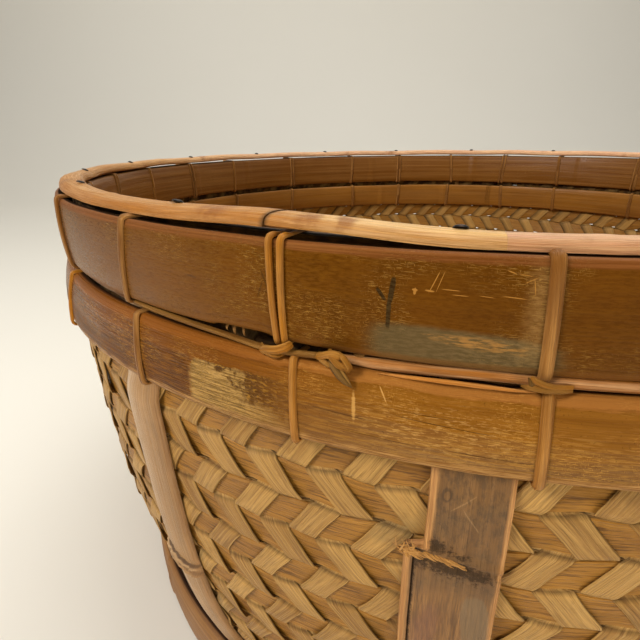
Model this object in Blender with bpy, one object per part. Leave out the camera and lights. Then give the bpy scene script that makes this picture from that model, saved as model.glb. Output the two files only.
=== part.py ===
"""Splint basket: a woven splint wall on a crossed bamboo frame, bound at the mouth by cane-lashed hoops.

Metres, +Z up. The basket stands on its foot hoop at Z = 0, its axis is Z, and the joint of the rim
cane that shows most is at the front, towards -Y.
"""
import math

import bmesh
import bpy
from mathutils import Matrix, Vector

# Fits
GAP = 0.0003

# Basket as a whole
HEIGHT = 0.2314
MOUTH_RADIUS = 0.2212
# How far the wall is drawn in or swells from the mouth's radius: at the groove between the hoops, at
# its fullest, at the top of the foot hoop and at the edge of the flat base
WAIST_DRAW = 0.0009
BELLY_SWELL = 0.0042
FOOT_DRAW = 0.0210
BASE_DRAW = 0.0432
BELLY_DEPTH = 0.0604
BASE_CLEARANCE = 0.0042
CORNER_HEIGHT = 0.0215

# Woven wall
WALL_THICK = 0.0024
WALL_LEAN = 0.36
WALL_ROWS = 5
CORNER_ROWS = 3
WALL_COLUMNS = 3

# Hoops
UPPER_HOOP_HEIGHT = 0.0250
LOWER_HOOP_HEIGHT = 0.0204
UPPER_HOOP_THICK = 0.0030
LOWER_HOOP_THICK = 0.0036
HOOP_CROWN = 0.0010
INNER_HOOP_THICK = 0.0032
INNER_HOOP_CROWN = 0.0009
FOOT_HOOP_HEIGHT = 0.0312
FOOT_HOOP_THICK = 0.0038
FOOT_HOOP_CROWN = 0.0012
FOOT_HOOP_TAPER = 0.0006
HOOP_STEPS = 72

# Long splits: each crosses under the base and rises as two staves
STAVE_WIDTH = 0.0197
STAVE_THICK = 0.0026
STAVE_EDGE = 0.0005
STAVE_TOP_DROP = 0.0010
STAVES_A_SET = 3
STAVE_ANGLE = math.radians(27.35)
FIRST_SET_AZIMUTH = math.radians(-104.7)

# Rim cane, nailed over the hoops
RIM_WIDTH = 0.0100
RIM_RISE = 0.0042
RIM_CREST = 0.0036
RIM_SHOULDER = 0.0024
SPLICE_START = math.radians(-117.5)
SPLICE_ANGLE = math.radians(13.0)
RIM_STEPS_A_TURN = 90

# Nails
NAIL_COUNT = 18
NAIL_AZIMUTH = math.radians(-126.8)
NAIL_HEAD_RADIUS = 0.0018
NAIL_HEAD_RISE = 0.0009
NAIL_INSET = 0.0002

# Cane lashings round the hoops, one beside each stave and one midway to the next
LASHING_THICK = 0.0008
LASHING_WIDTH = 0.0026
DOUBLE_LASHING_WIDTH = 0.0037
LASHING_CLEARANCE = 0.0010

# Binder cane in the groove between the hoops
BINDER_HEIGHT = 0.0020
BINDER_DEPTH = 0.0030
BINDER_THIN_START = math.radians(-133.0)
BINDER_THIN_DEPTH = 0.0022
BINDER_STEPS_A_TURN = 90
KNOT_WIDTH = 0.0060
KNOT_HEIGHT = 0.0062
KNOT_DEPTH = 0.0030
KNOT_BEVEL = 0.0011
KNOT_TAIL = 0.0080
KNOT_TIP = 0.3
KNOT_CLEARANCE = 0.0015
KNOT_LASHING = 1

# Colours of the finish: base colour, roughness
FINISHES = {
    "splint": ((0.62, 0.43, 0.22, 1.0), 0.62),
    "hoop_bamboo": ((0.34, 0.16, 0.055, 1.0), 0.34),
    "inner_bamboo": ((0.24, 0.11, 0.04, 1.0), 0.42),
    "stave_bamboo": ((0.36, 0.24, 0.13, 1.0), 0.5),
    "rim_cane": ((0.58, 0.36, 0.15, 1.0), 0.4),
    "lashing_cane": ((0.46, 0.22, 0.08, 1.0), 0.4),
    "nail_iron": ((0.03, 0.028, 0.026, 1.0), 0.5),
}


def clear_scene():
    for obj in list(bpy.data.objects):
        bpy.data.objects.remove(obj, do_unlink=True)


def finish_material(name):
    material = bpy.data.materials.get(name)
    if material:
        return material
    colour, roughness = FINISHES[name]
    material = bpy.data.materials.new(name)
    material.use_nodes = True
    shader = material.node_tree.nodes["Principled BSDF"]
    shader.inputs["Base Color"].default_value = colour
    shader.inputs["Roughness"].default_value = roughness
    shader.inputs["Metallic"].default_value = 1.0 if name == "nail_iron" else 0.0
    return material


def add_object(name, bm, finish):
    """Turn a closed bmesh into a named object with its finish."""
    bmesh.ops.recalc_face_normals(bm, faces=bm.faces)
    mesh = bpy.data.meshes.new(name)
    bm.to_mesh(mesh)
    bm.free()
    mesh.shade_smooth()
    mesh.set_sharp_from_angle(angle=math.radians(35))
    mesh.materials.append(finish_material(finish))
    obj = bpy.data.objects.new(name, mesh)
    bpy.context.scene.collection.objects.link(obj)
    return obj


def polar(radius, azimuth, z):
    return Vector((radius * math.cos(azimuth), radius * math.sin(azimuth), z))


# Heights that follow from the pieces stacked at the mouth and under the base
HOOP_TOP = HEIGHT - LASHING_THICK - 2 * GAP
UPPER_HOOP_BOTTOM = HOOP_TOP - UPPER_HOOP_HEIGHT
HOOP_SPACING = LASHING_THICK + BINDER_HEIGHT + 3 * GAP
LOWER_HOOP_TOP = UPPER_HOOP_BOTTOM - HOOP_SPACING
LOWER_HOOP_BOTTOM = LOWER_HOOP_TOP - LOWER_HOOP_HEIGHT
SLOT_HEIGHT = LASHING_THICK + 2 * GAP
BASE_Z = BASE_CLEARANCE + 2 * (STAVE_THICK + GAP)
WAIST_HEIGHT = (UPPER_HOOP_BOTTOM + LOWER_HOOP_TOP) / 2
BELLY_HEIGHT = HEIGHT - BELLY_DEPTH

# Radii of the woven wall's outer face
WAIST_RADIUS = MOUTH_RADIUS - WAIST_DRAW
BELLY_RADIUS = MOUTH_RADIUS + BELLY_SWELL
FOOT_RADIUS = MOUTH_RADIUS - FOOT_DRAW
BASE_RADIUS = MOUTH_RADIUS - BASE_DRAW


def wall_radius(z):
    """Outer radius of the woven wall at a height above its rounded corner."""
    if z >= WAIST_HEIGHT:
        part = (z - WAIST_HEIGHT) / (HOOP_TOP - WAIST_HEIGHT)
        return WAIST_RADIUS + (MOUTH_RADIUS - WAIST_RADIUS) * part
    if z >= BELLY_HEIGHT:
        part = (WAIST_HEIGHT - z) / (WAIST_HEIGHT - BELLY_HEIGHT)
        return WAIST_RADIUS + (BELLY_RADIUS - WAIST_RADIUS) * part ** 1.3
    part = (BELLY_HEIGHT - z) / (BELLY_HEIGHT - FOOT_HOOP_HEIGHT)
    fall = WALL_LEAN * part + (1 - WALL_LEAN) * part ** 3
    return BELLY_RADIUS - (BELLY_RADIUS - FOOT_RADIUS) * fall


def corner_points():
    """The rounded corner from the wall down to the flat base, a curve tangent to both."""
    top = (wall_radius(CORNER_HEIGHT), CORNER_HEIGHT)
    step = 0.002
    lean = (wall_radius(CORNER_HEIGHT + step) - top[0]) / step
    apex = (top[0] - lean * (top[1] - BASE_Z), BASE_Z)
    end = (BASE_RADIUS, BASE_Z)
    points = []
    for i in range(CORNER_ROWS + 1):
        t = i / CORNER_ROWS
        weights = ((1 - t) ** 2, 2 * t * (1 - t), t * t)
        points.append(tuple(sum(w * p[k] for w, p in zip(weights, (top, apex, end))) for k in (0, 1)))
    return points


def wall_line():
    """Stations of the wall's outer line, (radius, z), from the mouth to the edge of the base."""
    heights = [HOOP_TOP, (HOOP_TOP + UPPER_HOOP_BOTTOM) / 2, UPPER_HOOP_BOTTOM,
               UPPER_HOOP_BOTTOM - SLOT_HEIGHT, LOWER_HOOP_TOP,
               (LOWER_HOOP_TOP + LOWER_HOOP_BOTTOM) / 2, LOWER_HOOP_BOTTOM,
               LOWER_HOOP_BOTTOM - SLOT_HEIGHT]
    start = heights[-1]
    for i in range(1, WALL_ROWS + 1):
        heights.append(start + (CORNER_HEIGHT - start) * i / (WALL_ROWS + 1))
    return [(wall_radius(z), z) for z in heights] + corner_points()


LINE = wall_line()
# Stations of the wall line where the hoops have their edges and middles
UPPER_STATIONS = (0, 1, 2)
LOWER_STATIONS = (4, 5, 6)
BAND_END = 7


def outward(i):
    """Direction that moves station i outwards by one, so that layers keep their thickness."""
    def normal(a, b):
        dr, dz = b[0] - a[0], b[1] - a[1]
        length = math.hypot(dr, dz)
        return -dz / length, dr / length

    before = normal(LINE[i - 1], LINE[i]) if i > 0 else None
    after = normal(LINE[i], LINE[i + 1]) if i + 1 < len(LINE) else (0.0, -1.0)
    before = before or after
    if i < BAND_END:
        return 1 / min(before[0], after[0]), 0.0
    total = (before[0] + after[0], before[1] + after[1])
    size = total[0] * before[0] + total[1] * before[1]
    return total[0] / size, total[1] / size


def layer(i, distance):
    """Point (radius, z) that lies a distance outside the wall's outer face at station i."""
    direction = outward(i)
    return LINE[i][0] + direction[0] * distance, LINE[i][1] + direction[1] * distance


def radius_at(line, z):
    """Radius of a line of (radius, z) points, running downwards, at a height."""
    for (r_a, z_a), (r_b, z_b) in zip(line, line[1:]):
        if z_b <= z <= z_a:
            return r_a + (r_b - r_a) * (z_a - z) / (z_a - z_b)
    raise ValueError("the line doesn't reach this height")


def add_section(bm, section, azimuth):
    """A closed loop of edges through a section's (radius, z) points, in one meridian plane."""
    verts = [bm.verts.new(polar(r, azimuth, z)) for r, z in section]
    edges = [bm.edges.new((verts[i], verts[i - 1])) for i in range(len(verts))]
    return verts + edges


def spin(bm, geometry, angle, steps, closed=False):
    turned = bmesh.ops.spin(bm, geom=geometry, cent=(0, 0, 0), axis=(0, 0, 1), dvec=(0, 0, 0),
                            angle=angle, steps=steps, use_merge=closed, use_duplicate=False)
    return turned["geom_last"]


def ring_section(outer, inner, steps):
    """Section of a ring whose facets nowhere reach past its outer or inside its inner line."""
    reach = 1 / math.cos(math.pi / steps)
    return outer + [(r * reach, z) for r, z in reversed(inner)]


def ring(name, outer, inner, finish):
    bm = bmesh.new()
    geometry = add_section(bm, ring_section(outer, inner, HOOP_STEPS), 0.0)
    spin(bm, geometry, math.tau, HOOP_STEPS, closed=True)
    return add_object(name, bm, finish)


def arc(name, outer, inner, start, angle, steps_a_turn, finish):
    """Part of a ring, with flat ends."""
    steps = max(2, math.ceil(steps_a_turn * angle / math.tau))
    bm = bmesh.new()
    geometry = add_section(bm, ring_section(outer, inner, steps_a_turn), start)
    spin(bm, geometry, angle, steps)
    bmesh.ops.holes_fill(bm, edges=[edge for edge in bm.edges if edge.is_boundary], sides=0)
    return add_object(name, bm, finish)


def stave_azimuths():
    """Azimuths of all staves, each with its set's azimuth, anticlockwise."""
    middle = (STAVES_A_SET - 1) / 2
    found = []
    for quarter in range(4):
        centre = FIRST_SET_AZIMUTH + quarter * math.pi / 2
        found += [(centre + (i - middle) * STAVE_ANGLE, centre) for i in range(STAVES_A_SET)]
    return found


def lashing_places():
    """(azimuth, width) of each lashing, anticlockwise: one beside each stave and one midway on."""
    offset = (STAVE_WIDTH / 2 + LASHING_CLEARANCE + LASHING_WIDTH / 2) / WAIST_RADIUS
    beside = [azimuth + offset for azimuth, _ in stave_azimuths()]
    places = []
    for i, azimuth in enumerate(beside):
        following = beside[i + 1] if i + 1 < len(beside) else beside[0] + math.tau
        places.append((azimuth, LASHING_WIDTH))
        places.append(((azimuth + following) / 2, DOUBLE_LASHING_WIDTH))
    return places


def slot_angle(width):
    return (width + 2 * GAP) / (WAIST_RADIUS - WALL_THICK - GAP)


def woven_body():
    """Wall and base as one shell, with a pair of slots at each lashing."""
    places = lashing_places()
    azimuths = [azimuth for azimuth, _ in places] + [places[0][0] + math.tau]
    widest = max(b - a for a, b in zip(azimuths, azimuths[1:])) / WALL_COLUMNS
    reach = 1 / math.cos(widest / 2)
    outer = LINE + [(0.0, BASE_Z)]
    inner = [layer(i, -WALL_THICK) for i in range(len(LINE))] + [(0.0, BASE_Z + WALL_THICK)]
    section = outer + [(r * reach, z) for r, z in reversed(inner)]
    bm = bmesh.new()
    geometry = add_section(bm, section, azimuths[0] - slot_angle(places[0][1]) / 2)
    for i, (azimuth, width) in enumerate(places):
        slot = slot_angle(width)
        next_slot = slot_angle(places[(i + 1) % len(places)][1])
        geometry = spin(bm, geometry, slot, 1)
        rest = azimuths[i + 1] - azimuth - slot / 2 - next_slot / 2
        geometry = spin(bm, geometry, rest, WALL_COLUMNS)
    bmesh.ops.remove_doubles(bm, verts=bm.verts, dist=1e-5)
    bmesh.ops.recalc_face_normals(bm, faces=bm.faces)
    for azimuth, width in places:
        for top in (UPPER_HOOP_BOTTOM, LOWER_HOOP_BOTTOM):
            open_slot(bm, azimuth, slot_angle(width), top - SLOT_HEIGHT / 2)
    return add_object("woven_body", bm, "splint")


def open_slot(bm, azimuth, angle, z):
    """Cut the pair of wall faces, outer and inner, at a place and join their edges."""
    def is_here(face):
        centre = face.calc_center_median()
        turn = (math.atan2(centre.y, centre.x) - azimuth + math.pi) % math.tau - math.pi
        return (abs(turn) < angle / 2 and abs(centre.z - z) < SLOT_HEIGHT / 2
                and centre.xy.length > BASE_RADIUS)

    faces = [face for face in bm.faces if is_here(face)]
    edges = list({edge for face in faces for edge in face.edges})
    bmesh.ops.delete(bm, geom=faces, context="FACES_ONLY")
    bmesh.ops.bridge_loops(bm, edges=edges)


def hoop_face(stations, seat, thick, crown):
    """Line of a hoop's face away from the wall, fuller in the middle."""
    face = [layer(i, seat + thick) for i in stations]
    face[1] = (face[1][0] + math.copysign(crown, thick), face[1][1])
    return face


def band_hoop(name, stations, seat, thick, crown, finish):
    """A flat hoop that follows the wall, seated at a distance from its outer face."""
    near = [layer(i, seat) for i in stations]
    far = hoop_face(stations, seat, thick, crown)
    if thick > 0:
        return ring(name, far, near, finish)
    return ring(name, near, far, finish)


OUTER_SEAT = 2 * GAP + STAVE_THICK
INNER_SEAT = -WALL_THICK - GAP


def hoops():
    band_hoop("outer_upper_hoop", UPPER_STATIONS, OUTER_SEAT, UPPER_HOOP_THICK, HOOP_CROWN, "hoop_bamboo")
    band_hoop("outer_lower_hoop", LOWER_STATIONS, OUTER_SEAT, LOWER_HOOP_THICK, HOOP_CROWN, "hoop_bamboo")
    band_hoop("inner_upper_hoop", UPPER_STATIONS, INNER_SEAT, -INNER_HOOP_THICK, INNER_HOOP_CROWN,
              "inner_bamboo")
    band_hoop("inner_lower_hoop", LOWER_STATIONS, INNER_SEAT, -INNER_HOOP_THICK, INNER_HOOP_CROWN,
              "inner_bamboo")


def foot_hoop():
    """The hoop that the basket stands on, pushed up over the staves."""
    staves = [layer(i, GAP + STAVE_THICK) for i in range(len(LINE))]
    seat = radius_at(staves, FOOT_HOOP_HEIGHT) + GAP
    inner = [(seat, FOOT_HOOP_HEIGHT), (seat - FOOT_HOOP_TAPER, 0.0)]
    outer = [(seat + FOOT_HOOP_THICK, FOOT_HOOP_HEIGHT),
             (seat + FOOT_HOOP_THICK + FOOT_HOOP_CROWN, FOOT_HOOP_HEIGHT / 2),
             (seat + FOOT_HOOP_THICK - FOOT_HOOP_TAPER, 0.0)]
    ring("foot_hoop", outer, inner, "hoop_bamboo")


def stave_section(azimuth, i, drop):
    """Six corners of a stave at station i of the wall, inner face first."""
    corners = []
    for distance, edge in ((GAP, 0.0), (GAP + STAVE_THICK, STAVE_EDGE)):
        row = []
        for side in (-1, 0, 1):
            r, z = layer(i, drop + distance - edge * abs(side))
            half = STAVE_WIDTH / 2 / r
            reach = 1 / math.cos(half / 2) if edge == 0.0 else 1.0
            row.append(polar(r * reach, azimuth + side * half, z))
        corners += row if edge == 0.0 else row[::-1]
    return corners


def turn_section(azimuth, course, drop):
    """The same corners where the flat run turns off its course, just inside the edge of the base."""
    radius = BASE_RADIUS - STAVE_WIDTH * math.tan(STAVE_ANGLE / 2)
    across = Vector((-math.sin(azimuth), math.cos(azimuth), 0.0))
    square = Vector((-math.sin(course), math.cos(course), 0.0))
    middle = (across + square).normalized()
    half = middle * (STAVE_WIDTH / 2 / middle.dot(across))
    corners = []
    for distance, edge in ((GAP, 0.0), (GAP + STAVE_THICK, STAVE_EDGE)):
        row = [polar(radius, azimuth, BASE_Z - drop - distance + edge * abs(side)) + side * half
               for side in (-1, 0, 1)]
        corners += row if edge == 0.0 else row[::-1]
    return corners


def rising_part(azimuth, course, drop):
    """Sections of one stave, from its top end down to the turn under the base."""
    last = len(LINE) - 1
    first_corner = last - CORNER_ROWS
    sections = []
    for i in range(last + 1):
        eased = drop * max(0, i - first_corner) / CORNER_ROWS
        section = stave_section(azimuth, i, eased)
        if i == 0:
            section = [corner - Vector((0, 0, STAVE_TOP_DROP)) for corner in section]
        sections.append(section)
    sections.append(turn_section(azimuth, course, drop))
    return sections


def long_split(name, azimuth, other, course, drop):
    """One split: down the wall at one azimuth, straight under the base, and up at the other."""
    sections = rising_part(azimuth, course, drop)
    # Seen from the other end, left and right change places
    for section in reversed(rising_part(other, course + math.pi, drop)):
        sections.append(section[2::-1] + section[:2:-1])
    bm = bmesh.new()
    first = bm.faces.new([bm.verts.new(corner) for corner in sections[0]])
    face = first
    for section in sections[1:]:
        extruded = bmesh.ops.extrude_face_region(bm, geom=[face])["geom"]
        if face is not first:
            bmesh.ops.delete(bm, geom=[face], context="FACES_ONLY")
        face = [item for item in extruded if isinstance(item, bmesh.types.BMFace)][0]
        for loop, corner in zip(face.loops, section):
            loop.vert.co = corner
    add_object(name, bm, "stave_bamboo")


def long_staves():
    middle = (STAVES_A_SET - 1) / 2
    number = 0
    for level in (0, 1):
        course = FIRST_SET_AZIMUTH + level * math.pi / 2
        for i in range(STAVES_A_SET):
            turn = (i - middle) * STAVE_ANGLE
            number += 1
            long_split(f"long_stave_{number}", course + turn, course + math.pi - turn, course,
                       level * (STAVE_THICK + GAP))


def lashing_outline():
    """Pairs (near, far) down the outside of the hoops and down their inside, near facing the hoops."""
    def column(side, seat, thick, crown):
        distances = []
        for i in UPPER_STATIONS:
            distances.append((i, seat + side * (thick[0] + (crown if i == UPPER_STATIONS[1] else 0) + GAP)))
        for i in LOWER_STATIONS:
            distances.append((i, seat + side * (thick[1] + (crown if i == LOWER_STATIONS[1] else 0) + GAP)))
        points = [layer(i, distance) for i, distance in distances]
        points[0] = (points[0][0], points[0][1] + GAP)
        points[2] = (points[2][0], points[2][1] - GAP)
        points[5] = (points[5][0], points[5][1] - GAP)
        points.insert(3, (max(points[2][0] * side, points[3][0] * side) * side, points[2][1] - LASHING_THICK))
        far = [(r + side * LASHING_THICK, z) for r, z in points]
        far[0] = (far[0][0], far[0][1] + LASHING_THICK)
        far[-1] = (far[-1][0], far[-1][1] - LASHING_THICK)
        return list(zip(points, far))

    outer = column(1, OUTER_SEAT, (UPPER_HOOP_THICK, LOWER_HOOP_THICK), HOOP_CROWN)
    inner = column(-1, INNER_SEAT, (INNER_HOOP_THICK, INNER_HOOP_THICK), INNER_HOOP_CROWN)
    return outer, inner


def lashing(name, azimuth, width):
    """Cane wound round both pairs of hoops, crossing through the wall between and under them."""
    turn = Matrix.Rotation(azimuth, 4, "Z")
    across = turn @ Vector((0, width, 0))
    bm = bmesh.new()

    def vertex(point):
        return bm.verts.new(turn @ Vector((point[0], -width / 2, point[1])))

    sides = [[(vertex(near), vertex(far)) for near, far in column] for column in lashing_outline()]
    outer, inner = sides
    for column in sides:
        for (near, far), (next_near, next_far) in zip(column, column[1:]):
            bm.faces.new((near, far, next_far, next_near))
    for i in (0, -1):
        bm.faces.new((outer[i][0], outer[i][1], inner[i][1], inner[i][0]))
    bm.faces.new((outer[2][0], inner[2][0], inner[3][0], outer[3][0]))
    bmesh.ops.recalc_face_normals(bm, faces=bm.faces)
    extruded = bmesh.ops.extrude_face_region(bm, geom=bm.faces[:], use_keep_orig=True)["geom"]
    moved = [item for item in extruded if isinstance(item, bmesh.types.BMVert)]
    bmesh.ops.translate(bm, verts=moved, vec=across)
    add_object(name, bm, "lashing_cane")


def lashings():
    for i, (azimuth, width) in enumerate(lashing_places(), start=1):
        lashing(f"lashing_{i:02d}", azimuth, width)


def rim():
    """The half-round cane over the mouth, in a long length and a short splice."""
    middle = MOUTH_RADIUS - WALL_THICK / 2
    half = RIM_WIDTH / 2
    outer = [(middle + RIM_CREST / 2, HEIGHT + RIM_RISE), (middle + half - NAIL_INSET, HEIGHT + RIM_SHOULDER),
             (middle + half, HEIGHT)]
    inner = [(middle - RIM_CREST / 2, HEIGHT + RIM_RISE), (middle - half + NAIL_INSET, HEIGHT + RIM_SHOULDER),
             (middle - half, HEIGHT)]
    joint = GAP / middle
    arc("rim_splice", outer, inner, SPLICE_START, SPLICE_ANGLE, RIM_STEPS_A_TURN, "rim_cane")
    arc("rim_cane", outer, inner, SPLICE_START + SPLICE_ANGLE + joint,
        math.tau - SPLICE_ANGLE - 2 * joint, RIM_STEPS_A_TURN, "rim_cane")


def nails():
    """Domed heads of the nails that hold the rim cane, on its crest."""
    middle = MOUTH_RADIUS - WALL_THICK / 2
    for i in range(NAIL_COUNT):
        azimuth = NAIL_AZIMUTH + i * math.tau / NAIL_COUNT
        bm = bmesh.new()
        bmesh.ops.create_circle(bm, cap_ends=True, radius=NAIL_HEAD_RADIUS, segments=10)
        top = bmesh.ops.extrude_face_region(bm, geom=bm.faces[:], use_keep_orig=True)["geom"]
        raised = [item for item in top if isinstance(item, bmesh.types.BMVert)]
        bmesh.ops.translate(bm, verts=raised, vec=(0, 0, NAIL_HEAD_RISE))
        bmesh.ops.scale(bm, verts=raised, vec=(0.55, 0.55, 1.0))
        place = Matrix.Translation(polar(middle, azimuth, HEIGHT + RIM_RISE + GAP))
        bmesh.ops.transform(bm, matrix=place, verts=bm.verts)
        add_object(f"rim_nail_{i + 1:02d}", bm, "nail_iron")


def break_azimuth():
    """Where the binder's two canes meet, under the knot beside one of the midway lashings."""
    azimuth, width = lashing_places()[KNOT_LASHING]
    return azimuth + (width / 2 + KNOT_CLEARANCE + KNOT_WIDTH / 2) / WAIST_RADIUS


def binder():
    """Cane laid in the groove between the outer hoops, thin on one stretch and thick on the rest."""
    low = LOWER_HOOP_TOP + GAP
    high = low + BINDER_HEIGHT
    staves = [layer(i, GAP + STAVE_THICK) for i in range(len(LINE))]
    near = max(layer(LOWER_STATIONS[0], OUTER_SEAT)[0], radius_at(staves, high) + GAP)

    def lay(name, start, angle, depth):
        outer = [(near + depth * 0.6, high), (near + depth, (low + high) / 2), (near + depth * 0.6, low)]
        inner = [(near, high), (near, low)]
        arc(name, outer, inner, start, angle, BINDER_STEPS_A_TURN, "lashing_cane")

    joint = GAP / near
    thin = break_azimuth() - BINDER_THIN_START
    lay("binder_cane_thin", BINDER_THIN_START, thin, BINDER_THIN_DEPTH)
    lay("binder_cane_thick", break_azimuth() + joint, math.tau - thin - 2 * joint, BINDER_DEPTH)


def knot():
    """The binder's knot, lying on the hoops' faces over its break, with the tail that points down."""
    height = (UPPER_HOOP_BOTTOM + LOWER_HOOP_TOP) / 2
    upper = hoop_face(UPPER_STATIONS, OUTER_SEAT, UPPER_HOOP_THICK, HOOP_CROWN)
    lower = hoop_face(LOWER_STATIONS, OUTER_SEAT, LOWER_HOOP_THICK, HOOP_CROWN)
    seat = max(radius_at(upper, height + KNOT_HEIGHT / 2), upper[-1][0], lower[0][0],
               radius_at(lower, height - KNOT_HEIGHT / 2)) + GAP
    tail_seat = radius_at(lower, height - KNOT_HEIGHT / 2 - KNOT_TAIL) + GAP
    bm = bmesh.new()
    bmesh.ops.create_cube(bm, size=1.0)
    bmesh.ops.scale(bm, verts=bm.verts, vec=(KNOT_DEPTH, KNOT_WIDTH, KNOT_HEIGHT))
    bottom = [face for face in bm.faces if face.normal.z < -0.5]
    tail = bmesh.ops.extrude_face_region(bm, geom=bottom)["geom"]
    bmesh.ops.delete(bm, geom=bottom, context="FACES_ONLY")
    tip = [item for item in tail if isinstance(item, bmesh.types.BMVert)]
    bmesh.ops.scale(bm, verts=tip, vec=(KNOT_TIP, KNOT_TIP, 1.0))
    lean = tail_seat - seat - (1 - KNOT_TIP) * KNOT_DEPTH / 2
    bmesh.ops.translate(bm, verts=tip, vec=(lean, KNOT_WIDTH / 12, -KNOT_TAIL))
    shoulders = [edge for edge in bm.edges if edge.calc_length() < KNOT_WIDTH + GAP
                 and all(vert.co.z > -KNOT_HEIGHT for vert in edge.verts)]
    bmesh.ops.bevel(bm, geom=shoulders, offset=KNOT_BEVEL, segments=1, affect="EDGES")
    place = Matrix.Rotation(break_azimuth(), 4, "Z") @ Matrix.Translation((seat + KNOT_DEPTH / 2, 0, height))
    bmesh.ops.transform(bm, matrix=place, verts=bm.verts)
    add_object("binder_knot", bm, "lashing_cane")


def main():
    clear_scene()
    woven_body()
    hoops()
    foot_hoop()
    long_staves()
    rim()
    nails()
    lashings()
    binder()
    knot()


main()
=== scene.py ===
"""Splint basket: a round basket of woven bamboo splint, with split hoops lashed round its mouth."""
import math
from functools import cached_property, reduce
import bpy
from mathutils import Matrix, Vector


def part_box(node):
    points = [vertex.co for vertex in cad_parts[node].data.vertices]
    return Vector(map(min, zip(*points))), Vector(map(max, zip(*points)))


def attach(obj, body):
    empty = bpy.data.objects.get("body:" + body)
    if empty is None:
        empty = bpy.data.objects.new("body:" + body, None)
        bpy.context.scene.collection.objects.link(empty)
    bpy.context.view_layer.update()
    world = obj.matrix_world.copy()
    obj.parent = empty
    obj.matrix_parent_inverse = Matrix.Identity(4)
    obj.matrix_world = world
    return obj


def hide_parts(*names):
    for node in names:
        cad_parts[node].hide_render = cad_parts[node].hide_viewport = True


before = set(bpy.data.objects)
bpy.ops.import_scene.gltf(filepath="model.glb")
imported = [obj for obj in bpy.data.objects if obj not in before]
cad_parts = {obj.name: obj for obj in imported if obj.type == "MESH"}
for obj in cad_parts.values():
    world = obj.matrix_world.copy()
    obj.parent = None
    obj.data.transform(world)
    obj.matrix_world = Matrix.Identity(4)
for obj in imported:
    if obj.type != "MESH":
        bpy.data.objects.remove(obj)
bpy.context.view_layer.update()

from types import SimpleNamespace

import bmesh
import bpy
import numpy as np
from mathutils import Matrix, Vector

bl_info = {
    "name": "Splint basket",
    "version": (1, 0, 0),
    "blender": (4, 5, 0),
    "location": "3D View > Sidebar > Basket",
    "description": "Models a round bamboo basket piece by piece round its packed frame",
    "category": "Object",
}

BODY = "root"

# Places repeated from the part's source: metres, and degrees for azimuths
MOUTH_RADIUS = 0.2212
WAIST_RADIUS = 0.2203
BELLY_RADIUS = 0.2254
FOOT_RADIUS = 0.2002
BASE_RADIUS = 0.1780
UPPER_BOTTOM, HOOP_TOP = (corner.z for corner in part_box("outer_upper_hoop"))
LOWER_BOTTOM, LOWER_TOP = (corner.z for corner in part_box("outer_lower_hoop"))
FOOT_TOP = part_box("foot_hoop")[1].z
RIM_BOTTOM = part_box("rim_cane")[0].z
WAIST_HEIGHT = (UPPER_BOTTOM + LOWER_TOP) / 2
BELLY_HEIGHT = 0.1710
WALL_LEAN = 0.36
CORNER_HEIGHT = 0.0215
BASE_Z = 0.0100
WALL_THICK = 0.0024
GAP = 0.0003
SEAT = 0.0032
INNER_SEAT = -WALL_THICK - GAP
INNER_THICK, INNER_CROWN = 0.0032, 0.0009
DEPTH_ZERO = 0.2310
STAVE_WIDTH = 0.0197
STAVE_THICK = 0.0026
STAVE_ANGLE = 27.35
FIRST_STAVE = -104.7
NAIL_FIRST = -126.8
NAIL_COUNT = 18
RIM_RADIUS = 0.2200
RIM_HALF, RIM_RISE = 0.0050, 0.0037
SPLICE_START = -117.5
SPLICE_END = -104.5
SCARF_GAP = 0.05
KNOT_AZIMUTH = -113.3

# The weave: heights are depths below DEPTH_ZERO
BAND = 0.01295
FIRST_BAND = 0.0560
FIRST_CROSSING = -115.7
STRAND_STEP = 5.0
STRANDS = 72
RISING_SHIFT = -2.25
FALLING_SHIFT = 2.75
ZIGZAG = 0.0009
ARC_RADIUS = 0.2250
LEVEL_STEP = 1.25
# Each strand starts elsewhere in the grain: seeds before it repeats, and metres from one to the next
SLANTING_START = (97, 0.31)
LEVEL_START = (89, 0.47)
# Edges sharper than this show as edges on thin strips
WOVEN_ANGLE = 38.0


def smooth(low, high, value):
    """0 below low, 1 above high, and a smooth step between."""
    part = np.clip((np.asarray(value, float) - low) / (high - low), 0.0, 1.0)
    return part * part * (3 - 2 * part)


def wander(turn, waves, seed):
    """An uneven wave of four sines, between about -1 and 1."""
    phases = np.random.default_rng(seed).uniform(0, math.tau, 4)
    sines = zip((0.5, 0.28, 0.15, 0.07), waves, phases)
    return sum(share * np.sin(count * turn + phase) for share, count, phase in sines)


def drift(value, seed, span):
    """The slow wander of a handmade line, over a distance of span."""
    return wander(np.asarray(value, float) * math.tau / span, (1, 2.17, 4.61, 9.7), seed)


def ring_drift(azimuth, seed, waves):
    """The same round a ring: it closes on itself after a turn."""
    return wander(np.radians(azimuth), (waves, 2 * waves + 1, 5 * waves + 2, 11 * waves), seed)


def around_turn(azimuth, middle=0.0):
    """An azimuth counted from another one, between -180 and 180."""
    return (np.asarray(azimuth, float) - middle + 180) % 360 - 180


def bell(value, width):
    """1 at 0, and falling away on both sides within about a width."""
    return np.exp(-(value / width) ** 2)


def arc(azimuth):
    """Distance along the map of a hoop, or of the weave, at an azimuth."""
    return np.radians(azimuth) * ARC_RADIUS


# ---- The wall's line ------------------------------------------------------------------------

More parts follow.
